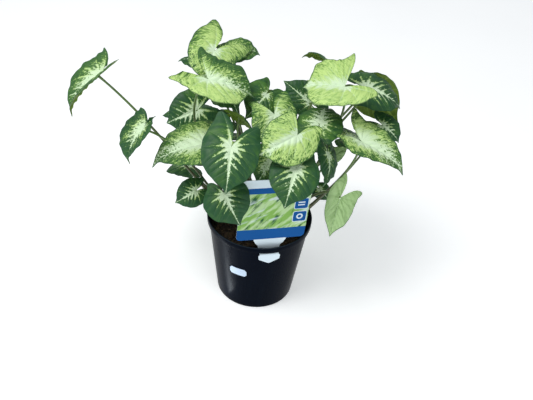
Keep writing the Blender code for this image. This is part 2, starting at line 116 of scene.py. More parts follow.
def bell(value: Array, width: float) -> Array:
    """Return a bell curve that is 1 where the value is 0."""
    return np.exp(-(value / width) ** 2)


def unit(vectors: Array) -> Array:
    """Return vectors of length one."""
    return vectors / np.maximum(np.linalg.norm(vectors, axis=-1, keepdims=True), 1e-12)


def circle(count: int) -> Array:
    """Return evenly spaced angles once round, as one row."""
    return np.linspace(0.0, ROUND, count, endpoint=False)[None, :]


def stack(*parts: object) -> Array:
    """Return points whose coordinates are the parts, spread to one shape."""
    return np.stack(np.broadcast_arrays(*parts), axis=-1)


@dataclass
class Surface:
    """Points, faces and point values that become one mesh.

    points is in millimetres, values maps an attribute's name to one vector a point, and slots
    gives each face's material, the quads' before the triangles'.
    """

    points: Array
    quads: Array
    triangles: Array
    values: dict[str, Array]
    slots: Array | None = None

    def __add__(self, other: "Surface") -> "Surface":
        """Return both surfaces as one.

        Args:
            other: The surface to add, with the same values and one material, as this has.

        Returns:
            The joint surface.
        """
        count = len(self.points)
        values = {key: np.concatenate([self.values[key], other.values[key]]) for key in self.values}
        return Surface(np.concatenate([self.points, other.points]),
                       np.concatenate([self.quads, other.quads + count]),
                       np.concatenate([self.triangles, other.triangles + count]), values)

    def outwards(self) -> "Surface":
        """Turn the faces of a closed surface outwards.

        The volume inside, a sum of a . (b x c) / 6 over the triangles, is negative where the faces
        look in.

        Returns:
            The surface with its faces looking out.
        """
        halves = np.concatenate([self.quads[:, :3], self.quads[:, [0, 2, 3]], self.triangles])
        a, b, c = (self.points[halves[:, k]] for k in range(3))
        if float((a * np.cross(b, c)).sum()) >= 0.0:
            return self
        return replace(self, quads=self.quads[:, ::-1], triangles=self.triangles[:, ::-1])

    def piece(self, name: str, materials: list[bpy.types.Material], slot: str,
              crease: float) -> bpy.types.Object:
        """Make the object, ride it on the body and give it its finish.

        Args:
            name: The piece's name.
            materials: One material for each face slot.
            slot: The material slot of the record that the piece answers to; not used.
            crease: The angle above which an edge is shaded sharp.

        Returns:
            The object, at the origin.
        """
        mesh = bpy.data.meshes.new(name)
        faces = self.quads.tolist() + self.triangles.tolist()
        mesh.from_pydata((self.points * MM).tolist(), [], faces)
        corners = np.empty(len(mesh.loops), dtype=np.int32)
        mesh.loops.foreach_get("vertex_index", corners)
        for key, value in self.values.items():
            if key == "UVMap":
                layer = mesh.uv_layers.new(name=key)
                layer.data.foreach_set("uv", value[corners].astype(np.float32).ravel())
            else:
                layer = mesh.attributes.new(key, "FLOAT_VECTOR", "POINT")
                layer.data.foreach_set("vector", value.astype(np.float32).ravel())
        for material in materials:
            mesh.materials.append(material)
        if self.slots is not None:
            mesh.polygons.foreach_set("material_index", self.slots.astype(np.int32))
        mesh.validate()
        mesh.shade_smooth()
        mesh.set_sharp_from_angle(angle=math.radians(crease))
        piece = bpy.data.objects.new(name, mesh)
        bpy.context.scene.collection.objects.link(piece)
        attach(piece, BODY)
        return piece


NO_TRIANGLES = np.zeros((0, 3), dtype=np.int64)
CUBE_FACES = ((0, 1, 3, 2), (4, 6, 7, 5), (0, 4, 5, 1), (2, 3, 7, 6), (0, 2, 6, 4), (1, 5, 7, 3))


def cube_corners(half: float) -> Array:
    """Return the corners of a cube round the origin, in the order that its faces count them."""
    return np.array([(x, y, z) for x in (-half, half) for y in (-half, half) for z in (-half, half)])


def grid_faces(rows: int, columns: int, wrap: bool = False, start: int = 0) -> Array:
    """Return the quads of a grid of points stored row by row.

    Args:
        rows: How many rows the grid has.
        columns: How many points a row has.
        wrap: Whether the last column is joined to the first.
        start: The number of the grid's first point.

    Returns:
        Four point numbers a quad.
    """
    row = np.arange(rows - 1)[:, None] * columns
    column = np.arange(columns if wrap else columns - 1)[None, :]
    after = (column + 1) % columns
    corners = [row + column, row + after, row + columns + after, row + columns + column]
    return np.stack([c.ravel() for c in np.broadcast_arrays(*corners)], axis=1) + start


def tube(rings: Array, ends: Array, values: dict[str, Array]) -> Surface:
    """Return a closed tube: rings of points joined one to the next, with a fan at each end.

    Args:
        rings: The points, ring by ring.
        ends: The point in the first ring's middle and the one in the last ring's.
        values: Point values, for the rings' points and then for the two ends.

    Returns:
        The closed surface.
    """
    rows, columns = rings.shape[:2]
    here = np.arange(columns)
    after = (here + 1) % columns
    last = (rows - 1) * columns
    pole = np.full(columns, rows * columns)
    fans = [np.stack([pole, after, here], axis=1), np.stack([pole + 1, here + last, after + last], axis=1)]
    return Surface(np.concatenate([rings.reshape(-1, 3), ends]), grid_faces(rows, columns, wrap=True),
                   np.concatenate(fans), values).outwards()


def sheet(front: Array, back: Array, uv: Array, back_uv: Array) -> Surface:
    """Return a closed thin sheet: two grids of points and the rim between them.

    Args:
        front: The front's points, row by row.
        back: The back's points, one behind each of the front's.
        uv: The front's place in the UV map.
        back_uv: The back's place in it.

    Returns:
        The closed surface.
    """
    rows, columns = front.shape[:2]
    count = rows * columns
    faces = grid_faces(rows, columns)
    margin = np.concatenate([np.arange(columns), columns - 1 + columns * np.arange(1, rows),
                             (rows - 1) * columns + np.arange(columns - 1)[::-1],
                             columns * np.arange(1, rows - 1)[::-1]])
    after = np.roll(margin, -1)
    rim = np.stack([after, margin, margin + count, after + count], axis=1)
    points = np.concatenate([front.reshape(-1, 3), back.reshape(-1, 3)])
    return Surface(points, np.concatenate([faces, faces[:, ::-1] + count, rim]), NO_TRIANGLES,
                   {"UVMap": np.concatenate([uv.reshape(-1, 2), back_uv.reshape(-1, 2)])}).outwards()


def waves(points: Array, length: float, count: int, seed: int) -> Array:
    """Return a rough field between about -1 and 1: a sum of plane waves of random headings.

    The wave lengths lie within a third of length either way, so the field has no direction.

    Args:
        points: Where to work the field out.
        length: The middle wave length.
        count: How many waves there are.
        seed: The seed of the random draws.

    Returns:
        The field at each point.
    """
    draw = np.random.default_rng(seed)
    heading = unit(draw.normal(size=(count, points.shape[-1])))
    number = ROUND / (length * draw.uniform(0.67, 1.33, count))
    phase = draw.uniform(0.0, ROUND, count)
    total = np.sin(points @ (heading * number[:, None]).T + phase)
    return total.sum(axis=-1) / math.sqrt(count)


class Value:
    """A number that a material works out at each point, for use in plain arithmetic."""

    def __init__(self, graph: "Graph", socket: Socket) -> None:
        """Keep the graph and the socket that gives the number."""
        self.graph = graph
        self.socket = socket

    def __add__(self, other: "Value | float") -> "Value":
        """Return the sum."""
        return self.graph.math("ADD", self, other)

    def __sub__(self, other: "Value | float") -> "Value":
        """Return the difference."""
        return self.graph.math("SUBTRACT", self, other)

    def __rsub__(self, other: float) -> "Value":
        """Return what is left of a plain number."""
        return self.graph.math("SUBTRACT", other, self)

    def __mul__(self, other: "Value | float") -> "Value":
        """Return the product."""
        return self.graph.math("MULTIPLY", self, other)

    def __truediv__(self, other: "Value | float") -> "Value":
        """Return the quotient."""
        return self.graph.math("DIVIDE", self, other)

    def __lt__(self, other: "Value | float") -> "Value":
        """Return 1 where this is the smaller, else 0."""
        return self.graph.math("LESS_THAN", self, other)

    def __gt__(self, other: "Value | float") -> "Value":
        """Return 1 where this is the larger, else 0."""
        return self.graph.math("GREATER_THAN", self, other)

    def __abs__(self) -> "Value":
        """Return the number without its sign."""
        return self.graph.math("ABSOLUTE", self)


class Graph:
    """Adds nodes to one material, with values, sockets, numbers and colours as inputs alike."""

    def __init__(self, name: str) -> None:
        """Start a material with a Principled shader.

        Args:
            name: The material's name.
        """
        self.material = bpy.data.materials.new(name)
        self.material.use_nodes = True
        self.tree = self.material.node_tree
        self.shader = self.tree.nodes["Principled BSDF"]

    def put(self, socket: Socket, value: object) -> None:
        """Give an input its source or its value.

        Args:
            socket: The input.
            value: A value of the graph, another socket, or a plain number or colour.
        """
        source = value.socket if isinstance(value, Value) else value
        if isinstance(source, Socket):
            self.tree.links.new(source, socket)
        else:
            socket.default_value = source

    def node(self, kind: str, inputs: dict[object, object], **settings: object) -> bpy.types.Node:
        """Add a node.

        Args:
            kind: The node's type.
            inputs: What its inputs get, by name or number.
            **settings: The node's own settings.

        Returns:
            The node.
        """
        item = self.tree.nodes.new(kind)
        for key, value in settings.items():
            setattr(item, key, value)
        for key, value in inputs.items():
            self.put(item.inputs[key], value)
        return item

    def math(self, operation: str, *values: object) -> Value:
        """Return the result of a math node."""
        item = self.node("ShaderNodeMath", dict(enumerate(values)), operation=operation)
        return Value(self, item.outputs[0])

    def larger(self, first: Value, second: Value) -> Value:
        """Return the larger of two values."""
        return self.math("MAXIMUM", first, second)

    def far(self, x: Value, y: Value) -> Value:
        """Return the length of the vector (x, y)."""
        return self.math("SQRT", x * x + y * y)

    def pick(self, test: Value, true: Value, false: Value) -> Value:
        """Return one value where the test is 1 and the other where it is 0."""
        return Value(self, self.node("ShaderNodeMix", {0: test, 2: false, 3: true}).outputs[0])

    def step(self, value: Value, low: float, high: float, start: float = 0.0,
             end: float = 1.0) -> Value:
        """Return a smooth climb from one number to another.

        Args:
            value: What the climb follows.
            low: Its value where the climb begins.
            high: Its value where the climb ends.
            start: The result up to there.
            end: The result from there on.

        Returns:
            The result.
        """
        inputs = {"Value": value, "From Min": low, "From Max": high, "To Min": start, "To Max": end}
        return Value(self, self.node("ShaderNodeMapRange", inputs,
                                     interpolation_type="SMOOTHSTEP").outputs[0])

    def mix(self, share: object, first: object, second: object) -> Socket:
        """Mix two colours.

        Args:
            share: How much of the second colour shows.
            first: The colour where share is 0.
            second: The colour where share is 1.

        Returns:
            The mixed colour.
        """
        item = self.node("ShaderNodeMix", {}, data_type="RGBA")
        self.put(item.inputs[0], share)
        self.put(item.inputs[6], first)
        self.put(item.inputs[7], second)
        return item.outputs[2]

    def noise(self, vector: Socket, scale: float, detail: float = 3.0, rough: float = 0.55) -> Value:
        """Return a noise texture's value."""
        inputs = {"Vector": vector, "Scale": scale, "Detail": detail, "Roughness": rough}
        return Value(self, self.node("ShaderNodeTexNoise", inputs).outputs[0])

    def place(self) -> Socket:
        """Return the object coordinates."""
        return self.node("ShaderNodeTexCoord", {}).outputs["Object"]

    def attribute(self, name: str) -> Socket:
        """Return a vector attribute of the mesh."""
        return self.node("ShaderNodeAttribute", {}, attribute_name=name).outputs["Vector"]

    def stretch(self, vector: Socket, scale: Place) -> Socket:
        """Return the vector with each part scaled."""
        return self.node("ShaderNodeMapping", {0: vector, 3: scale}).outputs[0]

    def parts(self, vector: Socket) -> list[Value]:
        """Return a vector's three parts."""
        return [Value(self, part) for part in self.node("ShaderNodeSeparateXYZ", {0: vector}).outputs]

    def bump(self, height: Value, distance: float, strength: float) -> None:
        """Give the shader a bump from a height between 0 and 1, in metres of distance."""
        inputs = {"Height": height, "Distance": distance, "Strength": strength}
        self.put(self.shader.inputs["Normal"], self.node("ShaderNodeBump", inputs).outputs[0])

    def set(self, **values: object) -> bpy.types.Material:
        """Finish the material.

        Args:
            **values: What the shader's inputs get, named with underlines for spaces.

        Returns:
            The material.
        """
        for key, value in values.items():
            self.put(self.shader.inputs[key.replace("_", " ")], value)
        return self.material


# The outline of a blade seen from above, from the tip round one side to the notch: the angle
# at the stalk's joint, and the distance to the margin as a share of the length joint to tip.
OUTLINE = (
    (0, 1.0), (8, 0.89), (20, 0.82), (38, 0.76), (60, 0.69), (80, 0.64), (100, 0.63), (120, 0.655),
    (136, 0.71), (148, 0.765), (157, 0.70), (165, 0.55), (170, 0.34),
)
NOTCH_ANGLE = 170.0
LOBE_START = 80.0
LOBE_FULL = 140.0
PEAK_ANGLE = 147.0
PEAK_SPAN = 9.0
SWING_KNEE = 0.8
LOBE_ARC = 0.6
HALF_WIDTH = 0.62

# The side veins leave the midrib at even steps and bend towards the tip: along one of them
# x = start + VEIN_SLOPE * y + VEIN_BEND * y * y, in shares of the length. Behind the first of
# them the veins are ribs that fan out from the joint at even angles.
VEIN_STEP = 0.17
VEIN_SLOPE = 0.6
VEIN_BEND = 0.55
VEIN_LEAN = 0.85
RIB_STEP = math.radians(33.0)


@dataclass(frozen=True)
class Leaf:
    """One blade, its stalk and its markings.

    joint and tip are the ends of the midrib. roll turns the blade about it, and a positive roll
    lifts the left side. width scales the blade's width, full its breadth near the tip, lobe the
    reach of its left and right lobes, peak draws them out into points, and swing turns them round
    the joint towards the notch. arch raises the middle of the midrib, fold lifts both sides, curl
    bends their margins down, hook bends the tip down, ripple waves the margin, and left and right
    lift the lobes. The stalk leaves the soil upright where rise is 1 and straight at the blade
    where it is 0, and sway pushes its middle aside.
    pale is how far from the joint the pale field reaches, as a share of the way to the margin,
    lean how much further on the left, stroke how far the pale strokes along the veins reach, and
    tone is the green between them.
    """

    name: str
    shoot: str
    joint: Place
    tip: Place
    roll: float
    pale: float
    stroke: float = 0.62
    lean: float = 0.0
    tone: Tone = Tone.DARK
    width: Pair = (1.0, 1.0)
    full: float = 1.0
    lobe: Pair = (1.0, 1.0)
    peak: Pair = (0.04, 0.04)
    swing: Pair = (0.0, 0.0)
    arch: float = 4.0
    fold: float = 8.0
    curl: float = 25.0
    left: float = 0.0
    right: float = 0.0
    wave: float = 1.0
    rise: float = 1.0
    hook: float = 2.0
    ripple: float = 0.6
    sway: Place = (0.0, 0.0, 0.0)

    @property
    def axes(self) -> tuple[float, Vector, Vector, Vector]:
        """The length joint to tip and the forward, left and upward directions.

        Returns:
            The length and the three directions.
        """
        span = Vector(self.tip) - Vector(self.joint)
        forward = span.normalized()
        level = Vector((0.0, 0.0, 1.0)).cross(forward).normalized()
        left = Matrix.Rotation(math.radians(self.roll), 3, forward) @ level
        return span.length, forward, left, forward.cross(left)


SHOOTS = {
    "left": (-34, 2), "front_left": (-14, -28), "back_left": (-18, 28), "middle": (2, 2),
    "front_right": (22, -24), "right": (38, 2), "back_right": (20, 30),
}

LEAVES = (
    Leaf("far_left", "left", (-188, 0, 289), (-218, -22, 251), 10, 0.4, stroke=0.9, width=(0.9, 0.75),
         lobe=(0.8, 0.85), fold=34, curl=15, right=45, rise=0, sway=(0, 8, 0), tone=Tone.MIDDLE,
         hook=5),
    Leaf("left_low", "left", (-137, -22, 239), (-151, -43, 207), 15, 0.3, stroke=0.7, width=(0.7, 0.95),
         lobe=(0.6, 0.85), swing=(25, 0), fold=28, right=45, rise=0, hook=4, sway=(0, 42, -6)),
    Leaf("top_back", "back_left", (-69, 72, 295), (-75, 35, 268), -16, 0.82, stroke=0.45,
         lobe=(1.32, 1.2), peak=(0.16, 0.16), swing=(-42, 32), sway=(12, 10, 0), tone=Tone.LIGHT,
         ripple=0.9),
    Leaf("top_front", "left", (-68, 10, 291), (-18, 14, 273), 24, 0.78, width=(0.88, 0.8), full=1.14,
         lobe=(1.06, 0.9), peak=(0.14, 0.16), swing=(-52, 24), fold=18, left=30, lean=-0.55,
         sway=(-45, 33, -12), tone=Tone.MIDDLE, ripple=0.9),
    Leaf("dark_left", "left", (-86, 48, 227), (-120, 39, 211), -60, 0.05, stroke=0.75,
         width=(1.1, 1.1)),
    Leaf("deep_shade", "back_left", (-64, 72, 206), (-45, 66, 199), 20, 0.1, lobe=(0.6, 0.6),
         sway=(8, 0, 0)),
    Leaf("left_large", "front_left", (-69, -15, 222), (-126, -32, 201), 0, 0.7, stroke=0.85,
         width=(1.0, 1.1), fold=16, tone=Tone.MIDDLE, hook=6),
    Leaf("front_star", "front_left", (-35, -65, 254), (-36, -100, 219), -5, -0.05, lobe=(1.0, 1.0),
         peak=(0.0, 0.14), swing=(-22, 16), sway=(6, 28, 0)),
    Leaf("front_low", "front_left", (-39, -76, 199), (-20, -92, 171), 42, 0.0, stroke=0.55,
         width=(1.1, 1.15), lobe=(0.7, 0.7)),
    Leaf("left_small", "left", (-75, -40, 173), (-97, -50, 161), -50, 0.0, stroke=0.7,
         lobe=(0.65, 0.8)),
    Leaf("middle_pale", "front_right", (34, -45, 263), (-5, -60, 244), -50, 0.95, stroke=0.42,
         width=(0.97, 1.0), full=1.05, lobe=(0.8, 0.87), swing=(26, -64), sway=(0, 26, 0),
         tone=Tone.MIDDLE),
    Leaf("right_mid", "middle", (59, -2, 254), (66, 35, 253), 0, 0.22, stroke=0.75, width=(1.2, 1.15),
         lobe=(0.9, 0.9), fold=0, tone=Tone.MOSSY),
    Leaf("right_top", "right", (82, 10, 296), (38, 25, 283), -30, 1.15, stroke=0.5, width=(0.85, 1.08),
         full=1.2, peak=(0.0, 0.14), swing=(31, -76), fold=20, sway=(16, 16, 0), tone=Tone.LIGHT),
    Leaf("right_back", "back_right", (110, 40, 280), (153, 38, 260), 10, 0.05, stroke=0.75,
         width=(1.1, 1.0), full=1.06, lobe=(0.85, 1.0)),
    Leaf("right_tail", "back_right", (116, 76, 256), (157, 62, 226), -105, 0.2, width=(0.75, 0.94),
         lobe=(0.7, 0.7), arch=6),
    Leaf("edge_on", "back_right", (62, 60, 302), (34, 64, 302), 38, 0.3, fold=0),
    Leaf("right_pale", "right", (107, -20, 246), (155, -44, 227), 6, 0.8, stroke=0.85,
         width=(0.88, 0.85), full=0.86, lobe=(0.95, 0.62), peak=(0.12, 0.08), swing=(-20, 10), fold=22,
         left=40, rise=0.3, sway=(16, 0, -8), tone=Tone.MIDDLE, hook=6),
    Leaf("right_small", "right", (134, 24, 242), (154, 13, 228), 30, 0.15, rise=0, sway=(0, 0, -26)),
    Leaf("right_low", "right", (89, -50, 188), (81, -77, 154), -8, -0.4, stroke=0.06, width=(0.68, 0.5),
         lobe=(0.98, 0.8), peak=(0.1, 0.1), swing=(-54, 42), sway=(0, 0, 30), tone=Tone.PLAIN),
    Leaf("label_dark", "front_right", (36, -60, 230), (27, -90, 199), -12, 0.0, stroke=0.68,
         lobe=(0.75, 0.75), sway=(0, 14, 0)),
    Leaf("right_inner", "right", (72, -20, 224), (70, -42, 196), -55, 0.1, stroke=0.5,
         width=(0.8, 0.8)),
    Leaf("young_green", "right", (76, 0, 207), (96, 10, 217), 40, -0.4, stroke=0.06, width=(0.6, 0.6),
         lobe=(0.7, 0.7), arch=1, tone=Tone.PLAIN),
    Leaf("low_inner", "right", (72, 32, 138), (84, 26, 125), 35, 0.1, lobe=(0.6, 0.6), fold=0),
    Leaf("centre_pale", "middle", (8, 0, 259), (0, -30, 232), -15, 0.7, peak=(0.12, 0.12),
         swing=(35, -65), tone=Tone.MIDDLE),
    Leaf("centre_top", "back_left", (-4, 30, 266), (-24, 7, 247), -38, 0.1, stroke=0.35,
         lobe=(0.8, 0.8), tone=Tone.MOSSY),
    Leaf("centre_under", "back_right", (14, 78, 240), (42, 72, 226), -50, 0.2),
    Leaf("small_dark", "middle", (48, 52, 248), (16, 66, 266), -50, 0.15, stroke=0.5, width=(0.8, 0.8),
         lobe=(0.8, 0.8)),
    Leaf("middle_olive", "middle", (-31, 5, 248), (-16, -12, 238), -60, 0.2, tone=Tone.MIDDLE),
    Leaf("mottled_low", "middle", (8, -35, 222), (-6, -56, 202), -35, 0.5, tone=Tone.MIDDLE),
    Leaf("back_left", "back_left", (-88, 95, 268), (-115, 100, 264), 0, 0.3, arch=2,
         sway=(28, 14, -12)),
    Leaf("back_top", "back_left", (-46, 100, 284), (-16, 106, 279), 20, 0.5, tone=Tone.MIDDLE),
    Leaf("under_top", "back_left", (-48, 25, 269), (-34, -5, 262), 20, 0.4, sway=(10, 5, 0),
         tone=Tone.MIDDLE),
    Leaf("rear_one", "back_left", (-20, 116, 218), (-34, 148, 192), 0, 0.6),
    Leaf("rear_two", "back_right", (24, 126, 212), (36, 162, 188), 0, 0.2),
    Leaf("rear_three", "back_right", (76, 108, 240), (104, 142, 212), 0, 0.85, tone=Tone.MIDDLE),
    Leaf("rear_four", "back_left", (-102, 92, 200), (-134, 112, 178), 0, 0.3),
    Leaf("rear_five", "back_right", (4, 112, 160), (6, 144, 140), 0, 0.15, stroke=0.7),
    Leaf("rear_six", "back_left", (-60, 106, 152), (-86, 132, 128), 0, 0.25),
    Leaf("rear_seven", "back_right", (58, 92, 168), (80, 128, 140), 0, 0.5, tone=Tone.MIDDLE),
    Leaf("rear_eight", "left", (-96, 52, 142), (-126, 64, 124), 0, 0.15),
    Leaf("rear_nine", "back_right", (104, 70, 192), (136, 84, 170), 0, 0.3),
)


@dataclass(frozen=True)
class Spot:
    """What a leaf's finish knows of a point on the upper face.

    grain runs with the veins, share is how far the point lies towards the margin, mid and vein are
    its distances to the midrib and to the nearest side vein, and pale, stroke and tone are its
    leaf's own. The rest are noises round 0, from the finest to the broadest.
    """

    grain: Socket
    share: Value
    mid: Value
    vein: Value
    pale: Value
    stroke: Value
    tone: Value
    speck: Value
    fleck: Value
    cloud: Value
    blotch: Value


@dataclass(frozen=True)
class LeafFinish:
    """The waxy skin of a leaf: green between pale, feathered markings along its veins.

    A noise is (scale, detail, roughness). Fields of four numbers are smooth climbs: where they
    begin and end, and the values there.
    """

    side: Side
    deep: Colour = colour(0.017, 0.076, 0.027)
    moss: Colour = colour(0.075, 0.190, 0.028)
    fresh: Colour = colour(0.205, 0.390, 0.072)
    lime: Colour = colour(0.475, 0.665, 0.195)
    cream: Colour = colour(0.640, 0.800, 0.565)
    # olive is the underside's own dull green made more saturated: partly a painted glow of light shining
    # through the blade.
    olive: Colour = colour(0.085, 0.155, 0.010)
    olive_vein: Colour = colour(0.200, 0.320, 0.050)

    # The specks, flecks, clouds and blotches that break up the markings.
    noises: tuple = ((9.5, 2.0, 0.5), (4.4, 3.0, 0.6), (2.1, 3.0, 0.55), (0.9, 2.0, 0.5))

    # How far blotches push the pale field out, and specks and flecks fray its edge.
    push: float = 1.1
    fray: float = 1.9
    edge: tuple = (-0.04, 0.13)
    halo: tuple = (-0.55, 0.05, 0.0, 0.45)

    # A stroke's half width at the midrib, the midrib's own, and how ragged both are.
    stroke_width: float = 0.080
    rib_width: tuple = (0.02, 1.0, 0.115, 0.006)
    ragged: tuple = (0.06, 0.085, 0.004)
    uneven: float = 1.3
    gain: float = 14.0

    # Where the markings are cream: near the midrib, within the strokes and along the veins.
    near_cream: tuple = (0.11, 0.58, 0.95, 0.08)
    stroke_cream: tuple = (-0.35, 0.35, 0.0, 0.95)
    vein_cream: tuple = (0.0, 0.035, 0.6, 0.0)
    vein_broken: tuple = (-0.12, 0.12, 0.25, 1.0)
    vein_fades: tuple = (0.2, 0.9, 1.0, 0.3)
    outer: float = 0.12
    cloudy: float = 0.34
    blotchy: float = 0.36

    # Green clouds and flecks in the lime.
    lime_clouds: tuple = (-0.05, 0.15, 0.0, 0.6)
    lime_flecks: tuple = (-0.16, 0.02, 0.55, 0.0)

    # Fine lines: the side veins, the midrib and the dark, frayed margin.
    thread: tuple = (0.001, 0.007, 0.10, 0.0)
    thread_fades: tuple = (0.4, 0.95, 1.0, 0.3)
    midrib: tuple = (0.003, 0.012, 0.45, 0.0)
    margin: tuple = (0.955, 0.99, 0.0, 0.75)
    margin_fray: float = 0.06
    vein_fray: float = 0.03

    # The ground: when it turns moss and fresh, when it is plain, its moss patches and its flecks.
    uneven_tone: float = 0.9
    moss_tone: tuple = (0.0, 0.35)
    fresh_tone: tuple = (0.3, 1.0)
    plain_tone: tuple = (1.2, 1.8)
    plain_cream: float = 0.34
    patch_noise: tuple = (1.6, 3.0, 0.6)
    patch: tuple = (0.44, 0.68, 0.0, 0.38)
    dark_noise: tuple = (5.2, 3.0, 0.6)
    dark: tuple = (0.47, 0.55)
    dark_by_tone: tuple = (0.3, 0.6, 0.25, 0.92)
    dark_outside: float = 0.30

    # The upper skin: its pores, how far veins and pores stand out, its roughness and its gloss.
    pores: Pair = (16.0, 2.0)
    vein_sinks: Pair = (0.0, 0.02)
    relief: Pair = (0.6, 0.25)
    bump: Pair = (0.0005, 0.7)
    rough: tuple = (0.3, 0.7, 0.42, 0.55)
    gloss: float = 0.26

    # The underside: its mottle, its veins and midrib, its bump, roughness and gloss.
    mottle_noise: tuple = (2.5, 4.0, 0.6)
    mottle: Pair = (0.3, 0.75)
    under_vein: tuple = (0.003, 0.012, 0.5, 0.0)
    under_midrib: tuple = (0.008, 0.022, 0.8, 0.0)
    under_pores: Pair = (14.0, 3.0)
    under_bump: Pair = (0.0003, 0.5)
    under_rough: float = 0.55
    under_gloss: float = 0.35

    def make(self) -> bpy.types.Material:
        """Make the finish of its side.

        Returns:
            The material.
        """
        graph = Graph(f"leaf {self.side.value}")
        along, spread, share = graph.parts(graph.attribute("flat"))
        pale, stroke, tone = graph.parts(graph.attribute("look"))
        grain = graph.attribute("grain")
        mid, vein = self.distances(graph, along, spread)
        if self.side is Side.LOWER:
            return self.lower(graph, mid, vein, grain, pale)
        noises = [graph.noise(grain, *kind) - 0.5 for kind in self.noises]
        return self.upper(graph, Spot(grain, share, mid, vein, pale, stroke, tone, *noises))

    def distances(self, graph: Graph, along: Value, spread: Value) -> tuple[Value, Value]:
        """Work out how far a point is from the veins.

        Ahead of the first side vein, start = along - slope * out - bend * out^2 tells which vein
        is near; behind it, the angle past that vein does.

        Args:
            graph: The material's graph.
            along: The way from the joint along the midrib.
            spread: The way across it.

        Returns:
            The distances to the midrib and to the nearest side vein, as shares of the length.
        """
        out = abs(spread)
        bent = out * VEIN_BEND + VEIN_SLOPE
        start = along - out * bent
        ahead = graph.math("PINGPONG", start, VEIN_STEP / 2) * VEIN_LEAN
        reach = graph.far(along, out)
        past = graph.math("ARCTAN2", out, along) - graph.math("ARCTAN2", 1.0, bent)
        behind = graph.math("PINGPONG", past, RIB_STEP / 2) * reach
        return graph.pick(along > 0.0, out, reach), graph.pick(start > 0.0, ahead, behind)

    def upper(self, graph: Graph, spot: Spot) -> bpy.types.Material:
        """Make the upper face's finish.

        The markings are pale where the larger of two margins is above 0: how far the point is
        inside a rough field round the joint, and how deep inside a stroke along a vein. A faint
        halo of moss green surrounds them.

        Args:
            graph: The material's graph.
            spot: The point.

        Returns:
            The material.
        """
        reach = spot.pale - spot.share + spot.blotch * self.push
        strokes = self.strokes(graph, spot)
        inside = graph.larger(reach + spot.speck * self.fray + spot.fleck * self.fray, strokes)
        below = self.ground(graph, spot, reach)
        below = graph.mix(graph.step(inside, *self.halo), below, self.moss)
        marks = graph.mix(graph.step(spot.cloud, *self.lime_clouds), self.lime, self.fresh)
        marks = graph.mix(graph.step(spot.fleck, *self.lime_flecks), marks, self.fresh)
        marks = graph.mix(self.creamy(graph, spot, strokes), marks, self.cream)
        skin = graph.mix(graph.step(inside, *self.edge), below, marks)
        thread = graph.step(spot.vein, *self.thread) * graph.step(spot.share, *self.thread_fades)
        skin = graph.mix(thread, skin, self.cream)
        skin = graph.mix(graph.step(spot.mid, *self.midrib), skin, self.cream)
        rim = graph.step(spot.share + spot.fleck * self.margin_fray, *self.margin)
        skin = graph.mix(rim, skin, self.deep)
        vein_high, pore_high = self.relief
        pores = graph.noise(spot.grain, *self.pores)
        graph.bump(graph.step(spot.vein, *self.vein_sinks) * vein_high + pores * pore_high, *self.bump)
        rough = graph.step(graph.noise(spot.grain, 3.0), *self.rough)
        return graph.set(Base_Color=skin, Roughness=rough, Specular_IOR_Level=self.gloss)

    def strokes(self, graph: Graph, spot: Spot) -> Value:
        """Work out the strokes along the veins.

        A stroke's half width falls evenly from the midrib to where it runs out in a point, and the
        midrib's falls from the joint to the tip.

        Args:
            graph: The material's graph.
            spot: The point.

        Returns:
            How deep the point is inside a stroke, above 0 inside.
        """
        speck, fleck, least = self.ragged
        edge = spot.speck * speck + spot.fleck * fleck - least
        point = 1.0 - spot.share / spot.stroke + spot.cloud * self.uneven
        side = point * self.stroke_width + edge - spot.vein
        middle = graph.step(spot.share, *self.rib_width) * spot.stroke + edge - spot.mid
        return graph.larger(side, middle) * self.gain

    def creamy(self, graph: Graph, spot: Spot, strokes: Value) -> Value:
        """Work out how cream the markings are.

        Args:
            graph: The material's graph.
            spot: The point.
            strokes: How deep it is inside a stroke.

        Returns:
            The share of cream, 0 where they are lime.
        """
        near = spot.mid + spot.share * self.outer - spot.cloud * self.cloudy - spot.blotch * self.blotchy
        near = graph.step(near / spot.stroke, *self.near_cream)
        stroke = graph.step(strokes - spot.share, *self.stroke_cream)
        ray = graph.step(spot.vein + spot.speck * self.vein_fray, *self.vein_cream)
        ray = ray * graph.step(spot.cloud, *self.vein_broken) * graph.step(spot.share, *self.vein_fades)
        return graph.larger(graph.larger(near, stroke), ray)

    def ground(self, graph: Graph, spot: Spot, reach: Value) -> Socket:
        """Make the green under the markings: deep or fresh by tone, flecked with deep green.

        The flecks run together further out of the pale field. A plain blade has none and is
        lighter.

        Args:
            graph: The material's graph.
            spot: The point.
            reach: How far it is inside the pale field, below 0 outside.

        Returns:
            The colour.
        """
        level = spot.tone + spot.blotch * self.uneven_tone
        base = graph.mix(graph.step(level, *self.moss_tone), self.deep, self.moss)
        base = graph.mix(graph.step(level, *self.fresh_tone), base, self.fresh)
        plain = graph.step(spot.tone, *self.plain_tone)
        base = graph.mix(plain * self.plain_cream, base, self.cream)
        base = graph.mix(graph.step(graph.noise(spot.grain, *self.patch_noise), *self.patch), base,
                         self.moss)
        dense = graph.noise(spot.grain, *self.dark_noise) - reach * self.dark_outside
        share = graph.step(spot.tone, *self.dark_by_tone) * (1.0 - plain)
        return graph.mix(graph.step(dense, *self.dark) * share, base, self.deep)

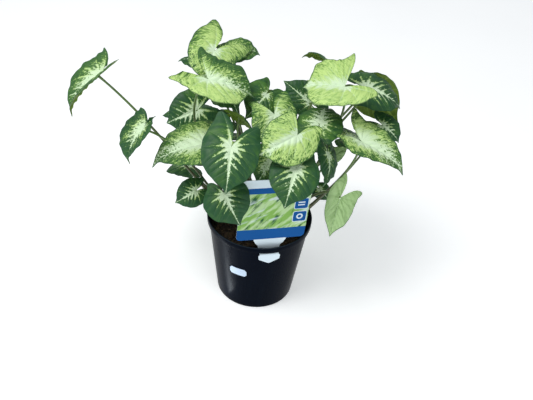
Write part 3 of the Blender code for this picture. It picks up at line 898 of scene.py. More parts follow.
    def lower(self, graph: Graph, mid: Value, vein: Value, grain: Socket,
              pale: Value) -> bpy.types.Material:
        """Make the underside's finish: olive with lighter veins standing out; the olive is partly the
        underside's own dull green and partly a painted glow of light shining through.

        Args:
            graph: The material's graph.
            mid: The distance to the midrib.
            vein: The distance to the nearest side vein.
            grain: The grain that runs with the veins.
            pale: How far the leaf's pale field reaches.

        Returns:
            The material.
        """
        mottle = graph.step(graph.noise(grain, *self.mottle_noise), *self.mottle)
        skin = graph.mix(mottle * pale, self.olive, self.olive_vein)
        lines = graph.larger(graph.step(vein, *self.under_vein), graph.step(mid, *self.under_midrib))
        graph.bump(graph.noise(grain, *self.under_pores), *self.under_bump)
        return graph.set(Base_Color=graph.mix(lines, skin, self.olive_vein),
                         Roughness=self.under_rough, Specular_IOR_Level=self.under_gloss)


@dataclass
class Blade:
    """The mesh of one leaf's blade: an upper and a lower face joined along the margin.

    skin is the thickness between the veins, and rib and vein_rib what midrib and veins add to it.
    The blade is notched unevenly along its margin and drawn out in a fine tip, and it is puffed up
    between its veins and grooved along the midrib. Each of these forms has a height and a span.
    crowding sets how rays crowd at the tip and rings at the margin, and the fades are the shares
    of the way to the margin where the relief ends and begins. Grain and map are the scales of the
    values that the finish reads.
    """

    leaf: Leaf
    seed: int
    rays: int
    rings: int
    skin: float = 0.35
    rib: float = 0.9
    rib_span: float = 0.022
    rib_thins: float = 0.75
    vein_rib: float = 0.35
    vein_span: float = 0.014
    crowding: Pair = (1.2, 0.9)
    notches: tuple = ((9, 0.010), (17, 0.006))
    fine_tip: Pair = (0.03, 2.6)
    ripples: tuple = ((11, 1.0), (19, 0.7))
    wave_count: int = 3
    puff: float = 0.022
    puff_span: float = 0.06
    groove: float = 0.02
    groove_span: float = 0.03
    margin_fade: Pair = (1.0, 0.80)
    joint_fade: Pair = (0.0, 0.25)
    hook_span: Pair = (0.82, 1.03)
    hook_power: float = 1.5
    lean_span: float = 0.6
    down_grain: float = 0.62
    grain_size: float = 10.0
    grain_shift: float = 3.7
    map_scale: float = 0.45

    def outline(self, side: Array) -> Array:
        """Work out the margin.

        The table's points are joined by cubic pieces whose slopes are those of their neighbours.
        The breadth is scaled by a sine bump ahead of the joint and the lobes behind it, which
        a narrow bell curve draws out into points.

        Args:
            side: Angles from the tip, positive on the left.

        Returns:
            The margin's distance from the joint as a share of the length.
        """
        angle = np.abs(side)
        angles, radii = (np.array(values, dtype=float) for values in zip(*OUTLINE))
        slopes = np.gradient(radii, angles)
        slopes[0] = (radii[1] - radii[0]) / (angles[1] - angles[0])
        i = np.clip(np.searchsorted(angles, angle, side="right") - 1, 0, len(angles) - 2)
        h = angles[i + 1] - angles[i]
        t = (angle - angles[i]) / h
        radius = ((2 * t ** 3 - 3 * t ** 2 + 1) * radii[i] + (t ** 3 - 2 * t ** 2 + t) * h * slopes[i]
                  + (3 * t ** 2 - 2 * t ** 3) * radii[i + 1] + (t ** 3 - t ** 2) * h * slopes[i + 1])
        lobe = (np.where(side > 0, *self.leaf.lobe) - 1.0) * smooth(LOBE_START, LOBE_FULL, angle)
        peak = np.where(side > 0, *self.leaf.peak) * bell(angle - PEAK_ANGLE, PEAK_SPAN)
        bump = (self.leaf.full - 1.0) * np.sin(np.radians(2.0 * np.minimum(angle, 90.0))) ** 2
        return radius * (1.0 + lobe + peak + bump)

    @staticmethod
    def veins(along: Array, spread: Array) -> tuple[Array, Array, Array]:
        """Work out where the veins are, as the finish does.

        Args:
            along: The way from the joint along the midrib.
            spread: The way across it.

        Returns:
            The distances to the midrib and to the nearest side vein, and the grain: coordinates
            that run across and along the side veins, which flecks follow.
        """
        out = np.abs(spread)
        bent = VEIN_SLOPE + VEIN_BEND * out
        start = along - out * bent
        ahead = np.abs(start / VEIN_STEP - np.round(start / VEIN_STEP)) * VEIN_STEP * VEIN_LEAN
        reach = np.hypot(along, out)
        past = np.arctan2(out, along) - np.arctan2(1.0, bent)
        behind = np.abs(past / RIB_STEP - np.round(past / RIB_STEP)) * RIB_STEP * reach
        across = np.where(start > 0, start, -past * reach)
        down = np.where(start > 0, out * np.hypot(1.0, bent), reach) * np.sign(spread)
        grain = stack(across, Blade.down_grain * down, 0.0)
        return np.where(along > 0, out, reach), np.where(start > 0, ahead, behind), grain

    def surface(self) -> Surface:
        """Make the closed blade.

        A point lies on the ray at an angle from the tip, at a share of the way to the margin. The
        ray swings with the lobe's skew, both sides bend in arcs, the midrib arches, the margin
        ripples and the tissue is puffed up between the veins.

        Returns:
            The blade.
        """
        leaf = self.leaf
        length, forward, left, up = leaf.axes
        even = np.linspace(-1.0, 1.0, 2 * self.rays + 1)
        at_tip, at_margin = self.crowding
        side = (NOTCH_ANGLE * np.sign(even) * np.abs(even) ** at_tip)[:, None]
        share = (np.linspace(0.0, 1.0, self.rings + 1)[1:] ** at_margin)[None, :]
        turn = np.radians(side)
        phase = np.random.default_rng(self.seed).uniform(0.0, ROUND, 4)
        uneven = 1.0 + sum(high * np.sin(count * turn + phase[k])
                           for k, (count, high) in enumerate(self.notches))
        tip, narrow = self.fine_tip
        radius = (self.outline(side) * uneven + tip * bell(side, narrow)) * share
        along, spread = radius * np.cos(turn), radius * np.sin(turn)
        x, y, z = self.bent(radius, side, share)
        ripple = sum(high * np.sin(count * turn + phase[2 + k])
                     for k, (count, high) in enumerate(self.ripples))
        z = z + leaf.ripple * share ** 4 * ripple
        mid, vein, grain = self.veins(along, spread)
        fade = smooth(*self.margin_fade, share) * smooth(*self.joint_fade, share)
        puff = self.puff * smooth(0.0, self.puff_span, vein)
        z = z + length * fade * (puff - self.groove * bell(mid, self.groove_span))
        top = np.stack([x, y, z], axis=-1) @ np.array([forward, left, up]) + np.array(leaf.joint)
        thick = self.skin + self.rib * bell(mid, self.rib_span) * (1.0 - self.rib_thins * share)
        thick = thick + self.vein_rib * bell(vein, self.vein_span) * fade
        return self.closed(top, thick, stack(along, spread, share), grain * (length / self.grain_size))

    def bent(self, radius: Array, side: Array, share: Array) -> tuple[Array, Array, Array]:
        """Bend the flat blade.

        The midrib arches in the parabola 4 arch t (1 - t), with t the way along it, and its tip
        hooks down. Lobes lift in arcs behind the joint, and the sides fold up and curl down.

        Args:
            radius: The distance from the joint as a share of the length.
            side: The angle from the tip.
            share: The share of the way to the margin.

        Returns:
            Places along the midrib, to its left and above it.
        """
        leaf = self.leaf
        length = leaf.axes[0]
        turn, part = np.radians(side), np.abs(side) / NOTCH_ANGLE
        pull = np.radians(np.where(side > 0, *leaf.swing)) * np.sign(side)
        swing = turn + pull * np.where(part < SWING_KNEE, part ** 2, part - SWING_KNEE * (1.0 - SWING_KNEE))
        width = np.where(side > 0, *leaf.width)
        x = radius * np.cos(swing) * length
        y = radius * np.sin(swing) * length * width
        lift = np.radians(np.where(y >= 0, leaf.left, leaf.right)) / (LOBE_ARC * length)
        bends = (x < 0) & (np.abs(lift) > 1e-6)
        safe = np.where(bends, lift, 1.0)
        z = np.where(bends, (1.0 - np.cos(safe * x)) / safe, 0.0)
        x = np.where(bends, np.sin(safe * x) / safe, x)
        out = np.abs(y)
        tilt = np.radians(leaf.fold - leaf.curl * out / (2.0 * HALF_WIDTH * length * width))
        t = x / length
        z = z + out * np.sin(tilt) + 4.0 * leaf.arch * np.where(t > 0, t * (1.0 - t), t)
        z = z + leaf.wave * share ** 2 * np.sin(self.wave_count * turn + leaf.joint[0])
        z = z - leaf.hook * smooth(*self.hook_span, t) ** self.hook_power
        return x, np.sign(y) * out * np.cos(tilt), z

    def closed(self, top: Array, thick: Array, flat: Array, grain: Array) -> Surface:
        """Close the blade: the lower face is set off from the upper by the thickness.

        Args:
            top: The upper face's points, ray by ray from the joint out.
            thick: The thickness there.
            flat: Where they lie on the flat blade, and their share of the way to the margin.
            grain: The grain there.

        Returns:
            The upper face, the lower one and the rim between, joined at the stalk's joint.
        """
        leaf = self.leaf
        rays, rings = top.shape[:2]
        joint, up = np.array(leaf.joint, dtype=float), np.array(leaf.axes[3])
        normal = unit(np.cross(np.gradient(top, axis=1), np.gradient(top, axis=0)))
        below = top - normal * np.sign((normal @ up).mean()) * thick[..., None]
        points = np.concatenate([joint[None], top.reshape(-1, 3),
                                 (joint - up * (self.skin + self.rib))[None], below.reshape(-1, 3)])
        count = rays * rings + 1
        quads = grid_faces(rays, rings, start=1)
        first = 1 + np.arange(rays) * rings
        fan = np.stack([np.zeros(rays - 1, dtype=int), first[1:], first[:-1]], axis=1)
        margin = np.concatenate([[0], 1 + np.arange(rings), first[1:] + rings - 1,
                                 (1 + (rays - 1) * rings + np.arange(rings - 1))[::-1]])
        after = np.roll(margin, -1)
        rim = np.stack([margin, after, after + count, margin + count], axis=1)
        flat, grain = self.twice(flat), self.twice(grain) + [0.0, 0.0, self.seed * self.grain_shift]
        look = stack(leaf.pale + leaf.lean * flat[:, 1] / self.lean_span, leaf.stroke, leaf.tone.value)
        slots = np.repeat([0.0, 1.0, 0.0, 0.0, 1.0], [len(quads), len(quads), len(rim), len(fan), len(fan)])
        uv = flat[:, :2] * self.map_scale + 0.5
        values = {"flat": flat, "grain": grain, "look": look, "UVMap": uv}
        return Surface(points, np.concatenate([quads[:, ::-1], quads + count, rim]),
                       np.concatenate([fan, fan[:, ::-1] + count]), values, slots).outwards()

    @staticmethod
    def twice(values: Array) -> Array:
        """Return one face's values with the joint's before them, for both faces."""
        face = np.concatenate([np.zeros((1, values.shape[-1])), values.reshape(-1, values.shape[-1])])
        return np.concatenate([face, face])


@dataclass
class Foliage:
    """All leaf blades, each a piece of its own.

    fine and plain are rays a side and rings a ray. Names that begin as in hidden get the plain
    grid.
    """

    fine: tuple[int, int] = (48, 30)
    plain: tuple[int, int] = (34, 20)
    hidden: tuple[str, ...] = ("rear", "deep", "low_inner", "back_left", "back_top", "middle_olive")
    crease: float = 80.0

    def build(self) -> None:
        """Make every blade and let it stand for its solid."""
        skins = [LeafFinish(Side.UPPER).make(), LeafFinish(Side.LOWER).make()]
        for seed, leaf in enumerate(LEAVES):
            grid = self.plain if leaf.name.startswith(self.hidden) else self.fine
            blade = Blade(leaf, seed, *grid).surface()
            piece = blade.piece(f"blade_{leaf.name}", skins, "leaf", self.crease)
            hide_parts(f"leaf_{leaf.name}")
        LOG.info("blades: %d", len(LEAVES))


@dataclass(frozen=True)
class StalkFinish:
    """The skin of the leaf stalks: brown near the soil, green under the blade, finely streaked."""

    brown: Colour = colour(0.078, 0.056, 0.020)
    olive: Colour = colour(0.058, 0.078, 0.022)
    green: Colour = colour(0.110, 0.190, 0.048)
    pale: Colour = colour(0.230, 0.310, 0.120)

    # Where along the stalk brown turns olive and olive green, and how uneven that is.
    shift: float = 0.12
    uneven_noise: Pair = (60.0, 3.0)
    uneven: float = 0.25
    to_olive: Pair = (0.10, 0.42)
    to_green: Pair = (0.45, 0.85)

    # The streaks, and the light that shines through the skin.
    streak_shape: Place = (2.0, 1.0, 1.0)
    streak_noise: tuple = (9.0, 4.0, 0.6)
    streak: tuple = (0.45, 0.75, 0.0, 0.28)
    bump: Pair = (0.0004, 0.5)
    rough: float = 0.42
    glow: float = 0.04
    glow_depth: Place = (0.001, 0.0015, 0.0005)

    def make(self) -> bpy.types.Material:
        """Make the finish.

        Returns:
            The material.
        """
        graph = Graph("stalk skin")
        flat = graph.attribute("flat")
        uneven = graph.noise(graph.place(), *self.uneven_noise) * self.uneven
        level = graph.parts(flat)[0] - self.shift + uneven
        skin = graph.mix(graph.step(level, *self.to_olive), self.brown, self.olive)
        skin = graph.mix(graph.step(level, *self.to_green), skin, self.green)
        streak = graph.noise(graph.stretch(flat, self.streak_shape), *self.streak_noise)
        skin = graph.mix(graph.step(streak, *self.streak), skin, self.pale)
        graph.bump(streak, *self.bump)
        return graph.set(Base_Color=skin, Roughness=self.rough, Subsurface_Weight=self.glow,
                         Subsurface_Radius=self.glow_depth, Subsurface_Scale=1.0)


@dataclass
class Stalks:
    """The stalks of one plantlet, growing out of its crown.

    root is how far a stalk starts below the crown's top. lean and arrival say how a stalk comes up
    to its blade, and spread and climb how it leaves the crown, as shares of its reach. taper is
    the thickness at the foot and how much of it is lost on the way up, sheath and flare are what
    the foot and the neck add and over what share, and slim makes short blades' stalks thinner.
    """

    name: str
    x: float
    y: float
    crown_radius: float = 4.2
    crown_bottom: float = 87.0
    crown_top: float = 108.0
    crown_point: float = 3.0
    crown_grid: tuple[int, int] = (22, 24)
    crown_taper: Pair = (1.15, 0.3)
    crown_rings: Pair = (24.0, 0.05)
    crown_round: tuple[int, float] = (8, 0.02)
    crown_seed: int = 99
    root: float = 8.0
    radius: float = 1.7
    slim: Pair = (0.62, 110.0)
    groove: Pair = (0.16, 0.45)
    taper: Pair = (1.12, 0.36)
    sheath: Pair = (0.35, 0.16)
    flare: Pair = (0.25, 0.96)
    streak_shift: float = 1.7
    crease: float = 70.0
    steps: int = 40
    sides: int = 16
    lean: float = 0.6
    arrival: float = 0.3
    spread: float = 0.12
    climb: float = 0.42

    def build(self, skin: bpy.types.Material) -> None:
        """Make the crown and its stalks as one piece in place of their solid.

        Args:
            skin: The finish.
        """
        whole = self.crown()
        for seed, leaf in enumerate(LEAVES):
            if leaf.shoot == self.name:
                whole = whole + self.stalk(leaf, seed)
        piece = whole.piece(f"stalks_{self.name}", [skin], "stalk", self.crease)
        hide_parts(f"shoot_{self.name}")

    def route(self, leaf: Leaf) -> Array:
        """Work out a stalk's cubic curve, from inside the crown to the blade's joint.

        Args:
            leaf: The stalk's leaf.

        Returns:
            Points along the curve.
        """
        up = leaf.axes[3]
        start = Vector((self.x, self.y, self.crown_top - self.root))
        reach = Vector(leaf.joint) - start
        sway = Vector(leaf.sway)
        end = Vector(leaf.joint) - up * 0.5
        upright = Vector((self.spread * reach.x, self.spread * reach.y, self.climb * reach.z))
        first = start + (reach / 3).lerp(upright, leaf.rise) + sway * 0.5
        arrive = (reach.normalized() + up * self.lean).normalized() * reach.length * self.arrival
        second = end - arrive + sway
        t = np.linspace(0.0, 1.0, self.steps)[:, None]
        s = 1.0 - t
        return (np.array(start) * s ** 3 + np.array(first) * 3 * s * s * t
                + np.array(second) * 3 * s * t * t + np.array(end) * t ** 3)

    def stalk(self, leaf: Leaf, seed: int) -> Surface:
        """Make one stalk.

        Each ring is a circle across the route with a groove on its upper side. The radius falls
        from a sheathing foot to a slim neck and flares again where the blade begins.

        Args:
            leaf: The stalk's leaf.
            seed: The number that shifts its streaks.

        Returns:
            The stalk.
        """
        route = self.route(leaf)
        least, long = self.slim
        size = min(1.0, least + leaf.axes[0] / long)
        t = np.linspace(0.0, 1.0, self.steps)[:, None]
        ahead = unit(np.gradient(route, axis=0))
        level = np.array([-(leaf.joint[1] - self.y), leaf.joint[0] - self.x, 0.0])
        across = unit(np.cross(ahead, np.cross(level, ahead)))
        over = np.cross(ahead, across)
        around = circle(self.sides)
        depth, span = self.groove
        foot, lost = self.taper
        groove = 1.0 - depth * bell(around - 0.25 * ROUND, span)
        sheath = self.sheath[0] * bell(t, self.sheath[1])
        flare = self.flare[0] * smooth(self.flare[1], 1.0, t)
        ring = self.radius * size * (foot - lost * t + sheath + flare) * groove
        rings = (route[:, None, :] + (ring * np.cos(around))[..., None] * across[:, None, :]
                 + (ring * np.sin(around))[..., None] * over[:, None, :])
        return self.skinned(rings, t, around, seed)

    def skinned(self, rings: Array, along: Array, around: Array, seed: int) -> Surface:
        """Close a tube and give it the values that its finish reads.

        Args:
            rings: The points, ring by ring.
            along: How far up the stalk each ring is.
            around: The angles round a ring.
            seed: The number that shifts the streaks.

        Returns:
            The closed tube.
        """
        flat = stack(along, np.cos(around), seed * self.streak_shift)
        flat = np.concatenate([flat.reshape(-1, 3), flat[0, :1], flat[-1, :1]])
        uv = np.concatenate([stack(around / ROUND, along).reshape(-1, 2), [[0.5, 0.0], [0.5, 1.0]]])
        ends = np.stack([rings[0].mean(axis=0), rings[-1].mean(axis=0)])
        return tube(rings, ends, {"flat": flat, "UVMap": uv})

    def crown(self) -> Surface:
        """Make the crown: a tapering stump with a rounded, ringed top.

        Returns:
            The crown.
        """
        rows, sides = self.crown_grid
        foot, lost = self.crown_taper
        number, depth = self.crown_rings
        power, least = self.crown_round
        t = np.linspace(0.0, 1.0, rows)[:, None]
        height = self.crown_bottom + (self.crown_top + self.crown_point - self.crown_bottom) * t
        ringed = 1.0 + depth * np.sin(t * number)
        rounded = np.sqrt(np.maximum(1.0 - t ** power, least))
        radius = self.crown_radius * (foot - lost * t) * ringed * rounded
        around = circle(sides)
        rings = stack(self.x + radius * np.cos(around), self.y + radius * np.sin(around), height)
        return self.skinned(rings, 0.0 * t, around, self.crown_seed)


@dataclass(frozen=True)
class PotFinish:
    """Moulded black plastic with a soft gloss, faint flow marks, a little dust and a painted highlight
    along the rim's top edge.
    """

    black: Colour = colour(0.0004, 0.0024, 0.0075)
    worn: Colour = colour(0.0015, 0.0050, 0.0120)
    dust: Colour = colour(0.020, 0.030, 0.045)
    # edge is a painted highlight: a lighter blue-grey laid along the rim's top.
    edge: Colour = colour(0.060, 0.085, 0.110)

    # Upright flow marks, where they show as worn and how rough they leave the skin.
    flow_shape: Place = (1.0, 1.0, 0.12)
    flow_noise: tuple = (90.0, 4.0, 0.6)
    flow_worn: tuple = (0.42, 0.78, 0.0, 0.6)
    flow_rough: tuple = (0.3, 0.7, 0.24, 0.34)

    # Specks of dust, thickest at the foot, and a painted highlight along the rim's top edge, by height in
    # metres.
    dust_noise: tuple = (420.0, 3.0, 0.7)
    dust_speck: Pair = (0.66, 0.74)
    dust_height: tuple = (0.0, 0.03, 0.35, 0.08)
    rim_highlight_height: tuple = (0.1136, 0.1148, 0.0, 0.3)

    # The fine grain, the shares of grain and flow marks in the bump, and the dull gloss.
    grain_noise: tuple = (900.0, 3.0, 0.6)
    relief: Pair = (0.35, 0.65)
    bump: Pair = (0.00012, 0.45)
    gloss: float = 1.09

    def make(self) -> bpy.types.Material:
        """Make the finish.

        Returns:
            The material.
        """
        graph = Graph("pot plastic")
        place = graph.place()
        height = graph.parts(place)[2]
        flow = graph.noise(graph.stretch(place, self.flow_shape), *self.flow_noise)
        skin = graph.mix(graph.step(flow, *self.flow_worn), self.black, self.worn)
        speck = graph.step(graph.noise(place, *self.dust_noise), *self.dust_speck)
        skin = graph.mix(speck * graph.step(height, *self.dust_height), skin, self.dust)
        # Painted highlight: the rim's top is lightened towards edge by height.
        skin = graph.mix(graph.step(height, *self.rim_highlight_height), skin, self.edge)
        grain_high, flow_high = self.relief
        grain = graph.noise(place, *self.grain_noise)
        graph.bump(grain * grain_high + flow * flow_high, *self.bump)
        rough = graph.step(flow, *self.flow_rough)
        return graph.set(Base_Color=skin, Roughness=rough, IOR=self.gloss)


@dataclass
class Pot:
    """The nursery pot: a thin tapered wall, a rim band with a rolled edge, slot and drain holes."""

    height: float = 115.0
    rim_radius: float = 65.0
    band: float = 8.0
    base_radius: float = 49.0
    wall_top: float = 62.2
    wall: float = 1.6
    floor: float = 2.2
    lip: float = 0.8
    steps: int = 192
    crease: float = 35.0
    drain_holes: int = 8
    drain_radius: float = 4.5
    drain_ring: float = 38.0
    slot_size: Place = (29.0, 16.0, 2.4)
    slot_middle: float = 105.8
    slot_azimuth: float = 14.0

    def build(self) -> None:
        """Make the pot in place of its solid: a turned wall that the slot and holes are cut in."""
        profile = self.profile()
        radius, height = profile[:, :1], profile[:, 1:]
        around = circle(self.steps)
        uv = np.concatenate([stack(around / ROUND, height / 100.0).reshape(-1, 2), np.zeros((2, 2))])
        whole = tube(stack(radius * np.cos(around), radius * np.sin(around), height),
                     np.array([[0.0, 0.0, self.floor], [0.0, 0.0, 0.0]]), {"UVMap": uv})
        piece = whole.piece("nursery_pot", [PotFinish().make()], "pot plastic", self.crease)
        self.cut(piece)
        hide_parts("pot")
        LOG.info("pot: %d faces", len(piece.data.polygons))

    def profile(self) -> Array:
        """Work out the section, from the floor's middle up the inside and down the outside.

        The wall tapers evenly, the rim band stands out from it over a small round step, the rim's
        edge is a half circle, and the base stands on a raised ring.

        Returns:
            Rows of (radius, height).
        """
        band, rim, base = self.height - self.band, self.rim_radius, self.base_radius
        turn = np.radians(np.linspace(180.0, 0.0, 9))
        edge = np.stack([rim - self.lip + self.lip * np.cos(turn),
                         self.height - self.lip + self.lip * np.sin(turn)], axis=1)
        up = np.linspace(0.0, 1.0, 26)
        down = 1.0 - up
        inside = np.stack([base - self.wall - 1.0 + up * (self.wall_top - base + 1.0),
                           self.floor + up * (band - self.floor)], axis=1)
        outside = np.stack([base + down * (self.wall_top - base), 1.6 + down * (band - 2.0)], axis=1)
        floor = [(radius, self.floor) for radius in (12.0, 26.0, 30.0, 44.0)]
        inner = [(rim - self.wall - 0.7, band + 1.5)]
        step = [(rim - 0.25, band + 1.0), (rim - 0.5, band + 0.2), (rim - 1.1, band - 0.2),
                (self.wall_top + 0.4, band - 0.5)]
        foot = [(base - 0.3, 0.6), (base - 1.0, 0.0), (45.0, 0.0), (43.5, 0.7), (31.0, 0.7), (29.5, 0.9),
                (12.0, 0.9)]
        return np.array([*floor, *inside, *inner, *edge, *step, *outside, *foot], dtype=float)

    def cut(self, piece: bpy.types.Object) -> None:
        """Cut the slot and the drain holes, and apply the cuts.

        Args:
            piece: The uncut pot.
        """
        holes = bpy.data.collections.new("pot cutters")
        angle = math.radians(self.slot_azimuth)
        middle = Vector((math.sin(angle) * self.wall_top, -math.cos(angle) * self.wall_top,
                         self.slot_middle))
        slot = self.cutter("slot cutter", cube_corners(0.5) * self.slot_size * MM, CUBE_FACES)
        slot.matrix_world = Matrix.Translation(middle * MM) @ Matrix.Rotation(angle, 4, "Z")
        holes.objects.link(slot)
        drum, faces = self.drum()
        for k in range(self.drain_holes):
            turn = ROUND * (k + 0.5) / self.drain_holes
            hole = self.cutter(f"drain cutter {k}", drum, faces)
            hole.location = Vector((math.cos(turn), math.sin(turn), 0.0)) * self.drain_ring * MM
            holes.objects.link(hole)
        bpy.context.scene.collection.children.link(holes)
        cut = piece.modifiers.new("cut", "BOOLEAN")
        cut.operand_type = "COLLECTION"
        cut.collection = holes
        cut.solver = "EXACT"
        bpy.context.view_layer.update()
        graph = bpy.context.evaluated_depsgraph_get()
        mesh = bpy.data.meshes.new_from_object(piece.evaluated_get(graph))
        piece.modifiers.clear()
        piece.data = mesh
        mesh.set_sharp_from_angle(angle=math.radians(self.crease))
        for cutter in list(holes.objects):
            bpy.data.objects.remove(cutter, do_unlink=True)
        bpy.data.collections.remove(holes)

    @staticmethod
    def cutter(name: str, points: Array, faces: tuple | list) -> bpy.types.Object:
        """Make a cutter.

        Args:
            name: Its name.
            points: Its points in metres.
            faces: Its faces.

        Returns:
            The object, not yet in the scene.
        """
        mesh = bpy.data.meshes.new(name)
        mesh.from_pydata(points.tolist(), [], faces)
        return bpy.data.objects.new(name, mesh)

    def drum(self, sides: int = 24, reach: float = 6.0) -> tuple[Array, list]:
        """Work out a short upright cylinder.

        Args:
            sides: How many sides it has.
            reach: How far it goes up and down.

        Returns:
            Its points in metres and its faces.
        """
        around = circle(sides)
        ends = np.array([[-reach], [reach]])
        points = stack(self.drain_radius * np.cos(around), self.drain_radius * np.sin(around), ends)
        faces = grid_faces(2, sides, wrap=True).tolist()
        faces += [list(range(sides))[::-1], list(range(sides, 2 * sides))]
        return points.reshape(-1, 3) * MM, faces


@dataclass(frozen=True)
class SoilFinish:
    """Damp potting mix: near-black humus with brown fibres and a few pale crumbs."""

    humus: Colour = colour(0.012, 0.009, 0.007)
    bark: Colour = colour(0.060, 0.036, 0.020)
    crumb: Colour = colour(0.180, 0.140, 0.100)
    coarse_noise: tuple = (130.0, 5.0, 0.65)
    fine_noise: tuple = (520.0, 4.0, 0.7)
    crumbs: Pair = (0.60, 0.75)
    bump: Pair = (0.0012, 0.9)
    rough: float = 0.9
    gloss: float = 0.3

    def make(self, chips: bool) -> bpy.types.Material:
        """Make the finish.

        Args:
            chips: Whether it is for the bark chips, which show more bark and crumbs.

        Returns:
            The material.
        """
        graph = Graph("bark chips" if chips else "potting mix")
        coarse = graph.noise(graph.place(), *self.coarse_noise)
        fine = graph.noise(graph.place(), *self.fine_noise)
        low, high, share = (0.25, 0.60, 0.55) if chips else (0.45, 0.72, 0.3)
        skin = graph.mix(graph.step(coarse, low, high), self.humus, self.bark)
        skin = graph.mix(graph.step(fine, *self.crumbs, 0.0, share), skin, self.crumb)
        graph.bump(fine * 0.5 + coarse * 0.5, *self.bump)
        return graph.set(Base_Color=skin, Roughness=self.rough, Specular_IOR_Level=self.gloss)


@dataclass
class Soil:
    """The potting mix in the pot and the bark chips that lie on it.

    lumps holds the height, length, count and seed of the waves that make its top uneven, and they
    end towards the wall between the shares lumps_end. A chip's sizes are its half length, width
    and height, its corners are drawn in by chip_shape, and it lies chip_sunk of its height up.
    """

    edge: float = 98.0
    crown: float = 103.0
    radius: float = 58.7
    floor_radius: float = 46.0
    floor: float = 2.6
    steps: int = 160
    rings: int = 46
    first_ring: float = 0.015
    map_width: float = 140.0
    lumps: tuple = ((1.1, 13.0, 14, 3), (0.7, 4.6, 18, 4))
    lumps_end: Pair = (1.02, 0.9)
    chips: int = 520
    chip_seed: int = 11
    chip_sizes: tuple[Pair, ...] = ((1.2, 4.6), (0.8, 2.4), (0.4, 1.1))
    chip_shape: Pair = (0.55, 1.0)
    chip_tilt: float = 0.35
    chip_sunk: float = 0.25
    chip_margin: float = 3.5
    creases: Pair = (60.0, 25.0)

    def height(self, x: Array, y: Array) -> Array:
        """Work out the top's height: a low dome with lumps of two sizes.

        Args:
            x: Places across the pot.
            y: Places from front to back.

        Returns:
            The heights.
        """
        away = np.hypot(x, y) / self.radius
        place = np.stack([x, y], axis=-1)
        lumps = sum(high * waves(place, *wave) for high, *wave in self.lumps)
        return self.crown + (self.edge - self.crown) * away ** 2 + lumps * smooth(*self.lumps_end, away)

    def build(self) -> None:
        """Make the mix in place of its solid, and the chips."""
        around = circle(self.steps)
        radii = self.radius * np.linspace(self.first_ring, 1.0, self.rings)[:, None]
        x, y = radii * np.cos(around), radii * np.sin(around)
        wall = stack(self.floor_radius * np.cos(around), self.floor_radius * np.sin(around), self.floor)
        rings = np.concatenate([np.stack([x, y, self.height(x, y)], axis=-1), wall])
        ends = np.array([[0.0, 0.0, self.crown], [0.0, 0.0, self.floor]])
        uv = np.concatenate([rings.reshape(-1, 3)[:, :2], ends[:, :2]]) / self.map_width + 0.5
        whole, finish = tube(rings, ends, {"UVMap": uv}), SoilFinish()
        mix_crease, chip_crease = self.creases
        mix = whole.piece("potting_mix", [finish.make(False)], "soil", mix_crease)
        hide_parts("soil")
        chips = self.scatter().piece("bark_chips", [finish.make(True)], "soil", chip_crease)
        LOG.info("soil: %d faces, chips: %d faces", len(mix.data.polygons), len(chips.data.polygons))

    def scatter(self) -> Surface:
        """Make the chips: flattened, uneven blocks lying at random on the mix.

        A chip is a block whose eight corners are moved by a random share, scaled to a splinter's
        sizes, turned a little out of level and set half sunk on the top.

        Returns:
            The chips as one surface.
        """
        draw = np.random.default_rng(self.chip_seed)
        n = self.chips
        shape = cube_corners(1.0)[None] * draw.uniform(*self.chip_shape, (n, 8, 3))
        size = np.stack([draw.uniform(low, high, n) for low, high in self.chip_sizes], axis=1)
        shape = shape * size[:, None, :]
        turn = draw.uniform(0.0, ROUND, n)
        tilt = draw.normal(0.0, self.chip_tilt, (n, 2))
        shape[..., 2] += shape[..., 0] * tilt[:, :1] + shape[..., 1] * tilt[:, 1:]
        c, s = np.cos(turn)[:, None], np.sin(turn)[:, None]
        away = (self.radius - self.chip_margin) * np.sqrt(draw.uniform(0.0, 1.0, n))
        angle = draw.uniform(0.0, ROUND, n)
        x, y = away * np.cos(angle), away * np.sin(angle)
        z = self.height(x, y) + self.chip_sunk * size[:, 2]
        points = np.stack([shape[..., 0] * c - shape[..., 1] * s + x[:, None],
                           shape[..., 0] * s + shape[..., 1] * c + y[:, None],
                           shape[..., 2] + z[:, None]], axis=-1).reshape(-1, 3)
        quads = (np.array(CUBE_FACES)[None] + 8 * np.arange(n)[:, None, None]).reshape(-1, 4)
        return Surface(points, quads, NO_TRIANGLES, {"UVMap": points[:, :2] / self.map_width + 0.5})


